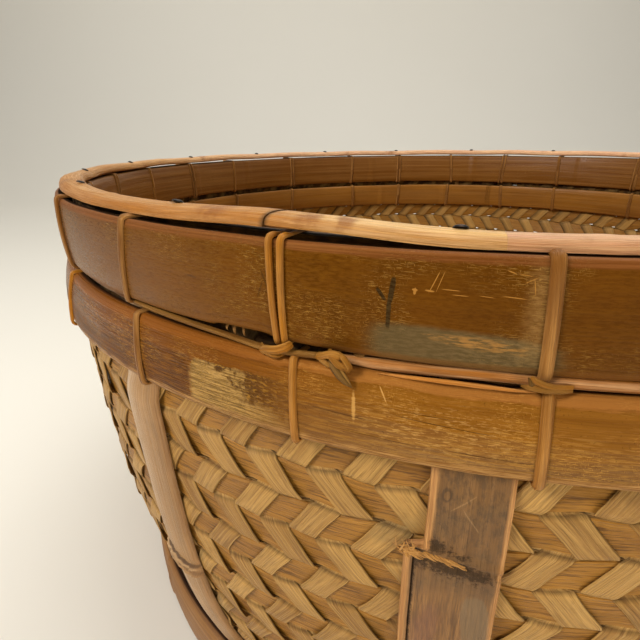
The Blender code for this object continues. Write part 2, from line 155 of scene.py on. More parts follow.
def wall_radius(z):
    """Outer radius of the woven wall at a height above its rounded corner."""
    z = np.asarray(z, float)
    neck = WAIST_RADIUS + (MOUTH_RADIUS - WAIST_RADIUS) * (z - WAIST_HEIGHT) / (HOOP_TOP - WAIST_HEIGHT)
    swell = np.clip((WAIST_HEIGHT - z) / (WAIST_HEIGHT - BELLY_HEIGHT), 0, 1)
    shoulder = WAIST_RADIUS + (BELLY_RADIUS - WAIST_RADIUS) * swell ** 1.3
    part = np.clip((BELLY_HEIGHT - z) / (BELLY_HEIGHT - FOOT_TOP), 0, 2)
    fall = BELLY_RADIUS - (BELLY_RADIUS - FOOT_RADIUS) * (WALL_LEAN * part + (1 - WALL_LEAN) * part ** 3)
    return np.where(z >= WAIST_HEIGHT, neck, np.where(z >= BELLY_HEIGHT, shoulder, fall))


def lengths(points):
    """Distance from the first point of a line to each of them, along it."""
    steps = np.linalg.norm(np.diff(points, axis=0), axis=1)
    return np.concatenate([[0.0], np.cumsum(steps)])


def wall_table():
    """Depth, radius, height and outward direction down the wall, round its corner and under the base."""
    heights = np.linspace(HOOP_TOP, CORNER_HEIGHT, 280)
    radii = wall_radius(heights)
    depths = DEPTH_ZERO - heights
    lean = float(wall_radius(CORNER_HEIGHT + 0.002) - radii[-1]) / 0.002
    top = np.array([radii[-1], CORNER_HEIGHT])
    apex = np.array([radii[-1] - lean * (CORNER_HEIGHT - BASE_Z), BASE_Z])
    end = np.array([BASE_RADIUS, BASE_Z])
    t = np.linspace(0, 1, 40)[1:, None]
    corner = (1 - t) ** 2 * top + 2 * t * (1 - t) * apex + t * t * end
    flat = end + np.array([-1.0, 0.0]) * np.linspace(0.0005, 0.02, 20)[:, None]
    tail = np.vstack([corner, flat])
    depths = np.concatenate([depths, depths[-1] + lengths(np.vstack([top, tail]))[1:]])
    radii, heights = np.concatenate([radii, tail[:, 0]]), np.concatenate([heights, tail[:, 1]])
    dr, dz = np.gradient(radii, depths), np.gradient(heights, depths)
    size = np.hypot(dr, dz)
    return depths, radii, heights, -dz / size, dr / size


WALL = wall_table()
FLAT_DEPTH = float(np.interp(-BASE_RADIUS, -WALL[1][-60:], WALL[0][-60:]))


def ring_points(radius, azimuth, z):
    """Points round the basket's axis."""
    turn = np.radians(azimuth)
    return np.stack(np.broadcast_arrays(radius * np.cos(turn), radius * np.sin(turn), z), axis=-1)


def on_wall(azimuth, depth, off):
    """Points at an azimuth and depth, a distance outside the wall's outer face."""
    radius, height, out_r, out_z = (np.interp(depth, WALL[0], column) for column in WALL[1:])
    return ring_points(radius + out_r * off, azimuth, height + out_z * off)


def on_base(azimuth, depth, off):
    """The same weave laid flat: azimuth runs across the base and depth along it."""
    return np.stack(np.broadcast_arrays(arc(azimuth), -np.asarray(depth, float), BASE_Z - off), axis=-1)


# ---- Modelling by hand ----------------------------------------------------------------------

STOCK = {}


def read(items, key, width=1, kind=int):
    """What Blender holds under a key for each vertex, corner or face."""
    values = np.empty(len(items) * width, kind)
    items.foreach_get(key, values)
    return values.reshape(-1, width) if width > 1 else values


def rounds(pieces):
    """The one or two rounds of subdividing, of 100 pieces at most, that cut a length into so many."""
    if pieces <= 100:
        return (pieces,)
    return next(((first, pieces // first) for first in range(100, 1, -1) if pieces % first == 0), None)


def even(count):
    """The nearest number of stations, from count up, that the stock can be cut to."""
    while not rounds(count - 1):
        count += 1
    return count


def stock(corners, stations):
    """A straight length of cane, modelled once for each size: a cylinder cut across at its stations."""
    if (corners, stations) in STOCK:
        return STOCK[corners, stations]
    bpy.ops.object.select_all(action="DESELECT")
    bpy.ops.mesh.primitive_cylinder_add(vertices=corners, radius=1.0, depth=1.0, location=(0, 0, 0.5))
    obj = bpy.context.object
    bpy.ops.object.transform_apply(location=True, rotation=True, scale=True)
    bpy.ops.object.mode_set(mode="EDIT")
    bpy.ops.mesh.select_mode(type="EDGE")
    done = 1
    for pieces in rounds(stations - 1):
        shape = bmesh.from_edit_mesh(obj.data)
        for edge in shape.edges:
            edge.select = abs(edge.verts[0].co.z - edge.verts[1].co.z) > 0.5 / done
        bmesh.update_edit_mesh(obj.data)
        bpy.ops.mesh.subdivide(number_cuts=pieces - 1)
        done *= pieces
    bpy.ops.object.mode_set(mode="OBJECT")
    mesh = obj.data
    x, y, z = read(mesh.vertices, "co", 3, float).T
    station = np.rint(z * (stations - 1)).astype(int)
    corner = np.rint((np.arctan2(y, x) - math.pi / 2) / (math.tau / corners)).astype(int) % corners
    vertex = read(mesh.loops, "vertex_index")
    starts, sizes = read(mesh.polygons, "loop_start"), read(mesh.polygons, "loop_total")
    # The faces between the last corner and the first, where the distance round starts again
    lowest, highest = (pick.reduceat(corner[vertex], starts) for pick in (np.minimum, np.maximum))
    wraps = (highest == corners - 1) & (lowest == 0) & (sizes == 4)
    seam = np.repeat(wraps, sizes) & (corner[vertex] == 0)
    bpy.data.objects.remove(obj)
    STOCK[corners, stations] = (mesh, station, corner, vertex, seam)
    return STOCK[corners, stations]


def strip(name, place, around, along, tone=0.0, age=0.0, dirt=0.0):
    """A closed strip from its corners at each station: place is (stations, corners, 3).

    around is the distance round the section at each corner and back at the first, and along the
    distance down the length. Together they're the UV map, in metres.
    """
    stations, corners = place.shape[:2]
    plain, station, corner, vertex, seam = stock(corners, stations)
    mesh = plain.copy()
    mesh.name = name
    points = place[station, corner]
    mesh.vertices.foreach_set("co", points.ravel())
    uv = np.stack([along[station][vertex], np.where(seam, around[corners], around[corner][vertex])], axis=-1)
    mesh.uv_layers[0].name = "strip"
    mesh.uv_layers[0].data.foreach_set("uv", uv.ravel())
    for label, value in (("tone", tone), ("age", age), ("dirt", dirt)):
        value = np.asarray(value, float)
        value = value[:, None] if value.ndim == 1 else value
        values = np.broadcast_to(value, (stations, corners))[station, corner]
        mesh.attributes.new(label, "FLOAT", "POINT").data.foreach_set("value", values.astype(np.float32))
    mesh.update()
    mesh.calc_loop_triangles()
    a, b, c = np.moveaxis(points[read(mesh.loop_triangles, "vertices", 3)], 1, 0)
    if np.einsum("ij,ij->i", a, np.cross(b, c)).sum() < 0:
        mesh.flip_normals()
    obj = bpy.data.objects.new(name, mesh)
    bpy.context.collection.objects.link(obj)
    return obj


def girth(section, start):
    """Distance round a section's corners, from start at the first and back to it."""
    return start + lengths(np.vstack([section, section[:1]]))


def each_station(section, count):
    """A section repeated for each station of a strip, to be changed one by one."""
    return np.broadcast_to(section, (count,) + section.shape).copy()


def unit(vectors):
    """Directions of a length of 1."""
    return vectors / np.linalg.norm(vectors, axis=1)[:, None]


def sweep(name, path, facing, section, start=0.0, around=None, **layers):
    """A strip along a path. The section is (across, proud), the same or one for each station."""
    if section.ndim == 2:
        section = each_station(section, len(path))
    tangent = unit(np.gradient(path, axis=0))
    across = unit(np.cross(facing, tangent))
    proud = np.cross(tangent, across)
    place = path[:, None] + across[:, None] * section[..., 0:1] + proud[:, None] * section[..., 1:2]
    if around is None:
        middle = section[len(path) // 2]
        around = girth(middle, middle[0][0])
    return strip(name, place, around, start + lengths(path), **layers)


def flat_splint(half, thick, crown, edge=0.9):
    """Eight corners of a flat split: its back is flat and its skin is crowned."""
    low, high = -thick / 2, thick / 2
    return np.array([(-half, -0.1 * thick), (-half * edge, high), (0, high + crown), (half * edge, high),
                     (half, -0.1 * thick), (half * edge, low), (0, low), (-half * edge, low)])


def half_round(half, thick):
    """Ten corners of a half-round cane, on its flat side."""
    return np.array([(-1, 0.12), (-0.88, 0.5), (-0.55, 0.85), (0, 1), (0.55, 0.85), (0.88, 0.5), (1, 0.12), (0.9, 0),
                     (0, -0.02), (-0.9, 0)]) * [half, thick]


def piece(name, parts, material, slot, *nodes, angle=50.0):
    """One piece from its parts, smooth where it curves, on the frame in place of its CAD nodes."""
    bpy.ops.object.select_all(action="DESELECT")
    for part in parts:
        part.select_set(True)
    bpy.context.view_layer.objects.active = obj = parts[0]
    if len(parts) > 1:
        bpy.ops.object.join()
    obj.name = obj.data.name = name
    bpy.ops.object.shade_smooth_by_angle(angle=math.radians(angle), keep_sharp_edges=True)
    obj.data.materials.clear()
    obj.data.materials.append(material)
    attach(obj, BODY)
    if nodes:
        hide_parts(*nodes)


# ---- Finishes -------------------------------------------------------------------------------

def chart(code):
    """A colour of a paint chart, as Blender holds it."""
    channels = [int(code[i:i + 2], 16) / 255 for i in (1, 3, 5)]
    return tuple(c / 12.92 if c <= 0.04045 else ((c + 0.055) / 1.055) ** 2.4 for c in channels) + (1.0,)


class Signal:
    """A value in a node tree. Arithmetic with it adds the nodes for it, and | takes the larger of two."""

    def __init__(self, bench, socket):
        self.bench, self.socket = bench, socket

    def fade(self, low, high, start=0.0, end=1.0):
        """start below low, end above high, and a smooth step between."""
        limits = {"Value": self, "From Min": low, "From Max": high, "To Min": start, "To Max": end}
        return self.bench.add("ShaderNodeMapRange", limits, interpolation_type="SMOOTHSTEP")[0]

    def __add__(self, other):
        return self.bench.math("ADD", self, other)

    def __sub__(self, other):
        return self.bench.math("SUBTRACT", self, other)

    def __rsub__(self, other):
        return self.bench.math("SUBTRACT", other, self)

    def __mul__(self, other):
        return self.bench.math("MULTIPLY", self, other)

    def __truediv__(self, other):
        return self.bench.math("DIVIDE", self, other)

    def __rtruediv__(self, other):
        return self.bench.math("DIVIDE", other, self)

    def __pow__(self, other):
        return self.bench.math("POWER", self, other)

    def __or__(self, other):
        return self.bench.math("MAXIMUM", self, other)


def most(signals):
    """The largest of some signals."""
    return reduce(Signal.__or__, signals)


class Bench:
    """Lays out the nodes of one tree and wires them."""

    def __init__(self, tree):
        self.tree = tree

    def add(self, kind, inputs=None, **settings):
        """A new node's outputs."""
        node = self.tree.nodes.new(kind)
        for key, value in settings.items():
            setattr(node, key, value)
        for key, value in (inputs or {}).items():
            self.feed(node.inputs[key], value)
        return [Signal(self, socket) for socket in node.outputs]

    def feed(self, socket, value):
        """Gives a socket another node's output, a colour of the paint chart or a plain value."""
        if isinstance(value, Signal):
            self.tree.links.new(value.socket, socket)
        else:
            socket.default_value = chart(value) if isinstance(value, str) else value

    def give(self, *signals):
        """Wires a group's outputs, in their order, and returns the group."""
        self.add("NodeGroupOutput", dict(enumerate(signals)))
        return self.tree

    def use(self, name, **inputs):
        """A shared effect, built when it's first used, with its outputs by name."""
        outputs = self.add("ShaderNodeGroup", inputs, node_tree=bpy.data.node_groups.get(name) or EFFECTS[name](name))
        return SimpleNamespace(**{signal.socket.name.lower().replace(" ", "_"): signal for signal in outputs})

    def math(self, operation, *values, clamp=False):
        return self.add("ShaderNodeMath", dict(enumerate(values)), operation=operation, use_clamp=clamp)[0]

    def vector(self, operation, *values):
        return self.add("ShaderNodeVectorMath", dict(enumerate(values)), operation=operation)[0]

    def apart(self, vector):
        return self.add("ShaderNodeSeparateXYZ", {0: vector})

    def turned(self, vector, angle):
        return self.add("ShaderNodeVectorRotate", {"Vector": vector, "Angle": angle}, rotation_type="Z_AXIS")[0]

    def mix(self, mask, first, second, blend="MIX"):
        return self.add("ShaderNodeMix", {0: mask, 6: first, 7: second}, data_type="RGBA", blend_type=blend)[2]

    def noise(self, vector, scale, detail, roughness=0.5):
        texture = {"Vector": vector, "Scale": scale, "Detail": detail, "Roughness": roughness}
        return self.add("ShaderNodeTexNoise", texture)[0]

    def drawn(self, vector, long, wide, detail, roughness=0.5):
        """Noise drawn out along a strip: its scale along it and across it."""
        stretch = self.add("ShaderNodeCombineXYZ", {0: long, 1: wide, 2: 1.0})[0]
        return self.noise(self.vector("MULTIPLY", vector, stretch), 1.0, detail, roughness)


def new_group(name, outputs, **inputs):
    """A shader node group: its bench, then its inputs. An input's kind follows from its default."""
    group = bpy.data.node_groups.new(name, "ShaderNodeTree")
    for label, default in inputs.items():
        kind = "NodeSocketVector" if isinstance(default, tuple) else "NodeSocketFloat"
        group.interface.new_socket(name=label, in_out="INPUT", socket_type=kind).default_value = default
    for label in outputs:
        group.interface.new_socket(name=label, in_out="OUTPUT", socket_type="NodeSocketFloat")
    bench = Bench(group)
    return bench, *bench.add("NodeGroupInput")[:len(inputs)]


def grain_group(name):
    """Fibres, broad streaks and blotches of split bamboo, along a strip's own length."""
    bench, vector, length, width, shift = new_group(name, ("Fibre", "Streak", "Blotch"), Vector=(0, 0, 0),
                                                    Length=0.03, Width=0.0004, Shift=0.0)
    along, across, _ = bench.apart(vector)
    bent = across + bench.noise(vector, 60.0, 1.0) * 0.00035
    away = shift * 37.0
    layers = []
    for long, wide, detail, low, high in ((1.0, 1.0, 3.0, 0.34, 0.66), (2.2, 4.5, 2.0, 0.32, 0.68),
                                          (1.1, 30.0, 3.0, 0.34, 0.66)):
        place = bench.add("ShaderNodeCombineXYZ", {0: along / (length * long), 1: bent / (width * wide), 2: away})[0]
        layers.append(bench.noise(place, 1.0, detail, 0.55).fade(low, high))
    return bench.give(*layers)


def mark_group(name):
    """A stain or worn place at a spot on a strip, with a ragged edge."""
    bench, vector, centre, half, turn, ragged, soft, corner = new_group(
        name, ("Mask",), Vector=(0, 0, 0), Centre=(0, 0, 0), Half=(0.01, 0.002, 1), Turn=0.0, Ragged=0.2, Soft=0.2,
        Corner=2.0)
    away = bench.turned(bench.vector("SUBTRACT", vector, centre), turn)
    x, y, _ = bench.apart(bench.vector("ABSOLUTE", bench.vector("DIVIDE", away, half)))
    size = (x ** corner + y ** corner) ** (1.0 / corner)
    reach = size + (bench.drawn(vector, 450.0, 1500.0, 4.0, 0.6) - 0.5) * (ragged * 4.0)
    soft = soft | 0.02
    return bench.give(reach.fade(1.0 - soft, soft + 1.0, 1.0, 0.0))


def scuff_group(name):
    """Short pale scratches and scuffs, thick in some places and absent in others."""
    bench, vector, amount, patch = new_group(name, ("Scratch", "Speck"), Vector=(0, 0, 0), Amount=0.5, Patch=40.0)
    whole = most(bench.drawn(bench.turned(vector, angle), long, wide, 1.0).fade(bar, bar + 0.05)
                 for angle, long, wide, bar in ((0.05, 420.0, 5200.0, 0.605), (-0.3, 700.0, 5600.0, 0.65),
                                                (1.25, 900.0, 5600.0, 0.66)))
    scratch = whole * bench.noise(vector, patch, 2.0).fade(0.42, 0.62)
    speck = bench.noise(vector, 1500.0, 2.0, 0.6).fade(0.62, 0.70)
    return bench.give(*(bench.math("MULTIPLY", mask, amount, clamp=True) for mask in (scratch, speck)))


def edge_group(name):
    """Worn or lighter borders at the two edges of a strip."""
    bench, vector, low, high, border, ragged = new_group(name, ("Low side", "High side", "Both"), Vector=(0, 0, 0),
                                                         Low=-0.004, High=0.004, Border=0.0006, Ragged=0.3)
    across = bench.apart(vector)[1]
    reach = border * ((bench.drawn(vector, 180.0, 700.0, 4.0) - 0.5) * (ragged * 6.0) + 1.0)
    sides = [(inward / reach).fade(0.7, 1.15, 1.0, 0.0) for inward in (across - low, high - across)]
    return bench.give(*sides, most(sides))


EFFECTS = {"Bamboo grain": grain_group, "Mark": mark_group, "Scuffs": scuff_group, "Strip edges": edge_group}


class Finish(Bench):
    """A material in the making, with the colour laid on so far."""

    def __init__(self, name):
        self.material = bpy.data.materials.new(name)
        self.material.use_nodes = True
        super().__init__(self.material.node_tree)

    @cached_property
    def map(self):
        """The strip's own map."""
        return self.add("ShaderNodeUVMap", uv_map="strip")[0]

    @cached_property
    def sides(self):
        """Distance along the strip, and across it or round it."""
        return self.apart(self.map)[:2]

    @cached_property
    def place(self):
        """The place in the basket."""
        return self.add("ShaderNodeTexCoord")[3]

    def carried(self, *layers):
        """Values that a strip carries: its tone, its age, or its painted shade and dirt."""
        return [self.add("ShaderNodeAttribute", attribute_name=layer)[2] for layer in layers]

    def cloud(self, scale, detail, roughness=0.5):
        return self.noise(self.place, scale, detail, roughness)

    def grain(self, length, width, shift=0.0):
        return self.use("Bamboo grain", Vector=self.map, Length=length, Width=width, Shift=shift)

    def scuffs(self, amount, patch):
        return self.use("Scuffs", Vector=self.map, Amount=amount, Patch=patch)

    def edges(self, low, high, border, ragged):
        return self.use("Strip edges", Vector=self.map, Low=low, High=high, Border=border, Ragged=ragged)

    def past(self, first, last, start=0.0, end=1.0):
        """A change along a hoop, from one azimuth to another."""
        return self.sides[0].fade(arc(first), arc(last), start, end)

    def mark(self, along, across, long, wide, turn=0.0, ragged=0.15, soft=0.2, corner=2.0):
        """A mark on a strip: its place, then half its length and width in millimetres."""
        return self.use("Mark", Vector=self.map, Centre=(along, across, 0.0), Half=(long / 1000, wide / 1000, 1.0),
                        Turn=math.radians(turn), Ragged=ragged, Soft=soft, Corner=corner).mask

    def spots(self, *rows):
        """Marks on a hoop: azimuth and depth in millimetres, then the rest of a mark."""
        return most(self.mark(arc(azimuth), DEPTH_ZERO - depth / 1000, *rest) for azimuth, depth, *rest in rows)

    def coat(self, *layers):
        """Lays colours on, each over what is there as far as its mask goes."""
        for mask, colour, *blend in layers:
            self.colour = self.mix(mask, self.colour, colour, *blend)

    def shader(self, **inputs):
        """Gives the shader what it takes, and returns the material."""
        for key, value in inputs.items():
            self.feed(self.tree.nodes["Principled BSDF"].inputs[key.replace("_", " ")], value)
        return self.material

    def done(self, relief, height, **inputs):
        """The finished material, with its relief raised by a height."""
        bump = self.add("ShaderNodeBump", {"Distance": height, "Height": relief})[0]
        return self.shader(Base_Color=self.colour, Normal=bump, **inputs)


def splint_finish(name, light, base, dark, settings, streaks=0.30):
    """Bare bamboo splint: a tone for each leaf, fine fibres, painted shade in the crevices and a little mould."""
    finish = Finish(name)
    tone, dirt = finish.carried("tone", "dirt")
    grain, coarse = finish.grain(0.020, 0.00028), finish.grain(0.011, 0.00062, 1.0)
    finish.colour = finish.mix(tone.fade(-1.0, 1.0), dark, light)
    finish.coat((0.40, base), (grain.blotch * 0.30, dark), (grain.streak * 0.45, light),
                (grain.fibre.fade(0.4, 1.0) * 0.36, settings.grain_colour),
                (coarse.fibre.fade(0.55, 1.0) * streaks, settings.grain_colour),
                (finish.cloud(21.0, 5.0, 0.62).fade(0.58, 0.74) * 0.5, settings.mould_colour),
                (finish.cloud(55.0, 5.0, 0.65).fade(0.56, 0.70) * 0.45, dark),
                (finish.edges(-0.0040, 0.0040, 0.0003, 0.3).both * 0.35, light),
                # Painted shade in the crevices
                (dirt * finish.cloud(160.0, 3.0).fade(0.3, 0.7, 0.7, 1.0), settings.dirt_colour))
    rough = finish.math("ADD", grain.fibre.fade(0.0, 1.0, 0.42, 0.60), dirt * 0.45, clamp=True)
    return finish.done(grain.fibre * -0.7 + grain.streak + coarse.fibre * -0.8, 0.00012,
                       Roughness=rough, Specular_IOR_Level=0.35)


def upper_hoop_finish(settings):
    """Old lacquered bamboo skin: amber brown, scuffed, with a stain, scratches and a worn greenish place."""
    finish = Finish("upper_hoop_lacquer")
    grain, scuffs = finish.grain(0.05, 0.00045, 1.0), finish.scuffs(1.0, 48.0)
    edges = finish.edges(UPPER_BOTTOM, HOOP_TOP, 0.0020, 0.10)
    mottle = finish.drawn(finish.map, 420.0, 1700.0, 5.0, 0.68).fade(0.40, 0.64)
    worn = finish.spots((-106.2, 22.3, 19.0, 5.0, 3.0, 0.05, 0.16, 4.0))
    painted_inner_shade = finish.carried("dirt")[0].fade(0.1, 0.6)
    finish.colour = finish.mix(finish.cloud(26.0, 4.0, 0.6).fade(0.38, 0.62), settings.lacquer_dark,
                               settings.lacquer_colour)
    finish.coat(
        (grain.streak * 0.16, settings.lacquer_light), (grain.blotch * 0.22, settings.lacquer_dark),
        (mottle * 0.34, settings.lacquer_light),
        # Redder and darker right of the double lashing
        (finish.past(-114, -110, 0.0, 0.4), "#58320e"),
        (grain.fibre * 0.16, "#43260a"),
        # Dusty towards the left, where the skin has gone grey
        (finish.past(-115, -128) * mottle.fade(0, 1, 0.25, 0.45), settings.dust_colour),
        (scuffs.scratch * 0.6, settings.scratch_colour), (scuffs.speck * 0.20, "#321b07"),
        # The worn place and the tan streak in it
        (worn * 0.72, finish.mix(mottle * finish.past(-110, -103, 0.5, 1.0), "#564c30", "#746342")),
        (finish.spots((-105.2, 19.7, 9.3, 1.25, 4.0, 0.30, 0.4))
         * finish.drawn(finish.map, 230.0, 1300.0, 4.0, 0.6).fade(0.42, 0.56) * 0.85, "#9e7038"),
        # The forked stain
        (finish.spots((-109.93, 9.6, 2.9, 0.56, 97.0, 0.07, 0.15, 4.0),
                      (-110.06, 14.8, 3.4, 0.48, 91.5, 0.07, 0.2, 4.0),
                      (-110.50, 10.6, 1.6, 0.40, 55.0, 0.12, 0.15, 4.0)) * 0.88,
         finish.mix(mottle, "#241a0b", "#3d321c")),
        # Painted highlight: a pale sheen beside the third lashing
        (finish.spots((-102.6, 12.0, 2.6, 11.0, 0.0, 0.2, 0.7, 3.0)) * mottle.fade(0, 1, 0.20, 0.40), "#a8814b"),
        # Short dark nicks, then pale scratches
        (finish.spots((-117.9, 13.2, 2.2, 0.25, 112, 0.2), (-123.4, 13.0, 1.6, 0.3, 5, 0.3),
                      (-117.6, 10.2, 2.0, 0.22, 70, 0.2)) * 0.6, "#3d230a"),
        (finish.spots((-107.80, 7.1, 2.4, 0.10, 112, 0.12), (-107.5, 6.9, 2.3, 0.07, 108, 0.12),
                      *((*row, 0.14) for row in (
            (-108.0, 9.0, 0.9, 0.20, 5), (-106.95, 8.5, 1.8, 0.10, 2), (-106.5, 9.5, 1.5, 0.09, 2),
            (-108.75, 9.0, 0.55, 0.28, 8), (-108.74, 9.3, 0.3, 0.75, 5), (-103.9, 9.2, 2.2, 0.10, 4),
            (-105.2, 9.4, 1.5, 0.07, 5), (-103.3, 5.6, 1.2, 0.08, -30), (-103.6, 4.6, 1.3, 0.08, 8),
            (-103.1, 6.8, 1.6, 0.10, 80), (-104.2, 4.2, 0.9, 0.12, 20)))) * 0.75, "#b07a35"),
        # Its edges, then painted shade on its top face and its hidden inside, which darkens the gap under the rim
        # cane
        (edges.high_side * 0.7, finish.mix(grain.fibre * 0.6, settings.lip_colour, "#572a09")),
        (edges.low_side * 0.45, "#784b1e"),
        (finish.sides[1].fade(HOOP_TOP + 0.0004, HOOP_TOP + 0.0013), "#1e0d04"),
        (painted_inner_shade, "#1a0d04"))
    rough = painted_inner_shade * 0.7 + mottle.fade(0, 1, 0.27, 0.37) + worn * 0.2 + edges.both * 0.1
    return finish.done(grain.streak * 0.4 - scuffs.scratch * 0.8 + mottle * 0.25 + grain.fibre * -0.3, 0.00008,
                       Roughness=rough, Specular_IOR_Level=0.20, Specular_Tint="#d89a48")


def lower_hoop_finish(settings):
    """The lower hoop: orange at its top edge, worn bare and scaly at the left, tan lower down."""
    finish = Finish("lower_hoop_skin")
    grain, scuffs = finish.grain(0.04, 0.00038, 2.0), finish.scuffs(1.0, 55.0)
    edges = finish.edges(LOWER_BOTTOM, LOWER_TOP, 0.0024, 0.2)
    along, across = finish.sides

    def drawn(long, wide, detail=4.0, low=0.42, high=0.58):
        return finish.drawn(finish.map, long, wide, detail, 0.62).fade(low, high)

    fall = across + (grain.streak - 0.5) * 0.003 + (finish.cloud(30.0, 4.0) - 0.5) * 0.018
    down = fall.fade(LOWER_BOTTOM + 0.002, LOWER_TOP - 0.005)
    near = finish.past(-190, -145)
    dull = finish.past(-124.0, -124.3) * near * fall.fade(LOWER_TOP - 0.003, LOWER_TOP - 0.009)
    flaked = drawn(160.0, 1500.0, 6.0, 0.48, 0.60) * fall.fade(LOWER_TOP - 0.002, LOWER_TOP - 0.009)
    left = finish.past(-122.0, -108.0) | near.fade(0, 1, 1.0, 0.0)
    # The bare place starts at a sharp edge, pale at the left and scaly at the top and right
    bare = finish.spots((-118.4, 43.4, 22.0, 7.9, -1.0, 0.05, 0.04, 10.0)) * finish.past(-114.0, -120.5)
    flecks = drawn(620.0, 1700.0, 5.0, 0.50, 0.60)
    stray = (finish.noise(finish.map, 150.0, 5.0, 0.65) - 0.5) * 0.024
    height = across + stray
    scaly = height.fade(LOWER_TOP - 0.0078, LOWER_TOP - 0.0052) | (
        (along + stray * 1.5).fade(arc(-120.6), arc(-119.8)) * height.fade(LOWER_TOP - 0.0150, LOWER_TOP - 0.0115))
    cracks = finish.spots((-106.6, 38.9, 9.5, 0.11, 3.6, 0.1), (-107.5, 37.1, 5.0, 0.07, 2.0, 0.1),
                          (-112.5, 40.2, 7.0, 0.07, 2.0, 0.12), (-110.5, 44.3, 8.0, 0.07, 2.0, 0.12),
                          (-104.2, 44.8, 8.5, 0.07, 2.0, 0.12))
    painted_inner_shade = finish.carried("dirt")[0].fade(0.1, 0.8)
    finish.colour = finish.mix(down, settings.bare_colour, settings.skin_colour)
    finish.coat(
        (grain.blotch * 0.4, settings.skin_dark), (grain.streak * 0.3, "#af762b"),
        (grain.fibre * down.fade(0, 1, 0.42, 0.2), "#552f0c"),
        # Left of the bare place the skin is brown and dull
        (dull * 0.7, finish.mix(drawn(60.0, 500.0, 5.0), "#633b18", "#462813")),
        (flaked * 0.38, "#af7f39"),
        (1.0, finish.mix(left, "#dcc79e", "#ffffff"), "MULTIPLY"),
        (bare * 0.92, finish.mix(scaly, finish.mix(drawn(110.0, 2400.0), "#7c5c2a", "#b68d4d"),
                                 finish.mix(flecks, "#492d0d", "#9d6f25"))),
        (scuffs.scratch * 0.5, "#cb9544"), (scuffs.speck * 0.45, "#412409"),
        (finish.spots((-107.0, 40.6, 17.0, 5.6, 2.0, 0.2, 0.7)) * drawn(430.0, 2300.0, 6.0, 0.53, 0.61) * 0.45,
         "#cf9f58"),
        (cracks * 0.65, "#3d1f07"),
        # Scraped below the double lashing
        (finish.spots((-111.75, 37.8, 3.2, 0.42, 86, 0.3, 0.4), (-110.1, 33.9, 2.0, 0.16, 62, 0.12)) * 0.75,
         "#c8964f"),
        (edges.high_side * 0.6, finish.mix(left, "#8f531c", settings.edge_colour)),
        (edges.low_side * 0.75, finish.mix(drawn(120.0, 3400.0, 3.0), "#7a4e23", "#b8894f")),
        # Painted shade on its hidden inside
        (painted_inner_shade, "#24130a"))
    return finish.done(grain.streak * 0.5 - cracks * 1.2 + grain.fibre * -0.5 + bare * flecks, 0.00014,
                       Roughness=painted_inner_shade * 0.6 + down.fade(0, 1, 0.44, 0.26) + flaked * 0.12,
                       Specular_IOR_Level=0.22, Specular_Tint="#e0a050")


def inner_hoop_finish(settings):
    """The hoops inside the mouth, and the foot hoop: smooth dark skin with paler nodes."""
    finish = Finish("inner_hoop_skin")
    tone, dirt = finish.carried("tone", "dirt")
    grain = finish.grain(0.06, 0.0006)
    # The foot is duller and pinker than the hoops inside
    foot = tone.fade(0.8, 0.9)
    finish.colour = finish.mix(tone.fade(-1, 1), settings.inner_dark, settings.inner_light)
    finish.coat((grain.blotch * 0.5, settings.inner_dark),
                (foot * 0.75, finish.mix(finish.cloud(70.0, 4.0), "#7a5230", "#9a7048")),
                (grain.streak * foot.fade(0, 1, 0.3, 0.5), "#a9783f"),
                (grain.fibre * foot.fade(0, 1, 0.2, 0.38), "#452a10"),
                # The scratches, then painted shade on the faces against the wall
                (finish.scuffs(0.6, 40.0).scratch * 0.4, "#b98a4c"), (dirt.fade(0.1, 0.6), "#2a1608"))
    rough = finish.math("ADD", grain.blotch.fade(0, 1, 0.32, 0.46) + foot * 0.15, dirt * 0.6, clamp=True)
    return finish.done(grain.streak + grain.fibre * -0.4, 0.0001, Roughness=rough, Specular_IOR_Level=0.25)


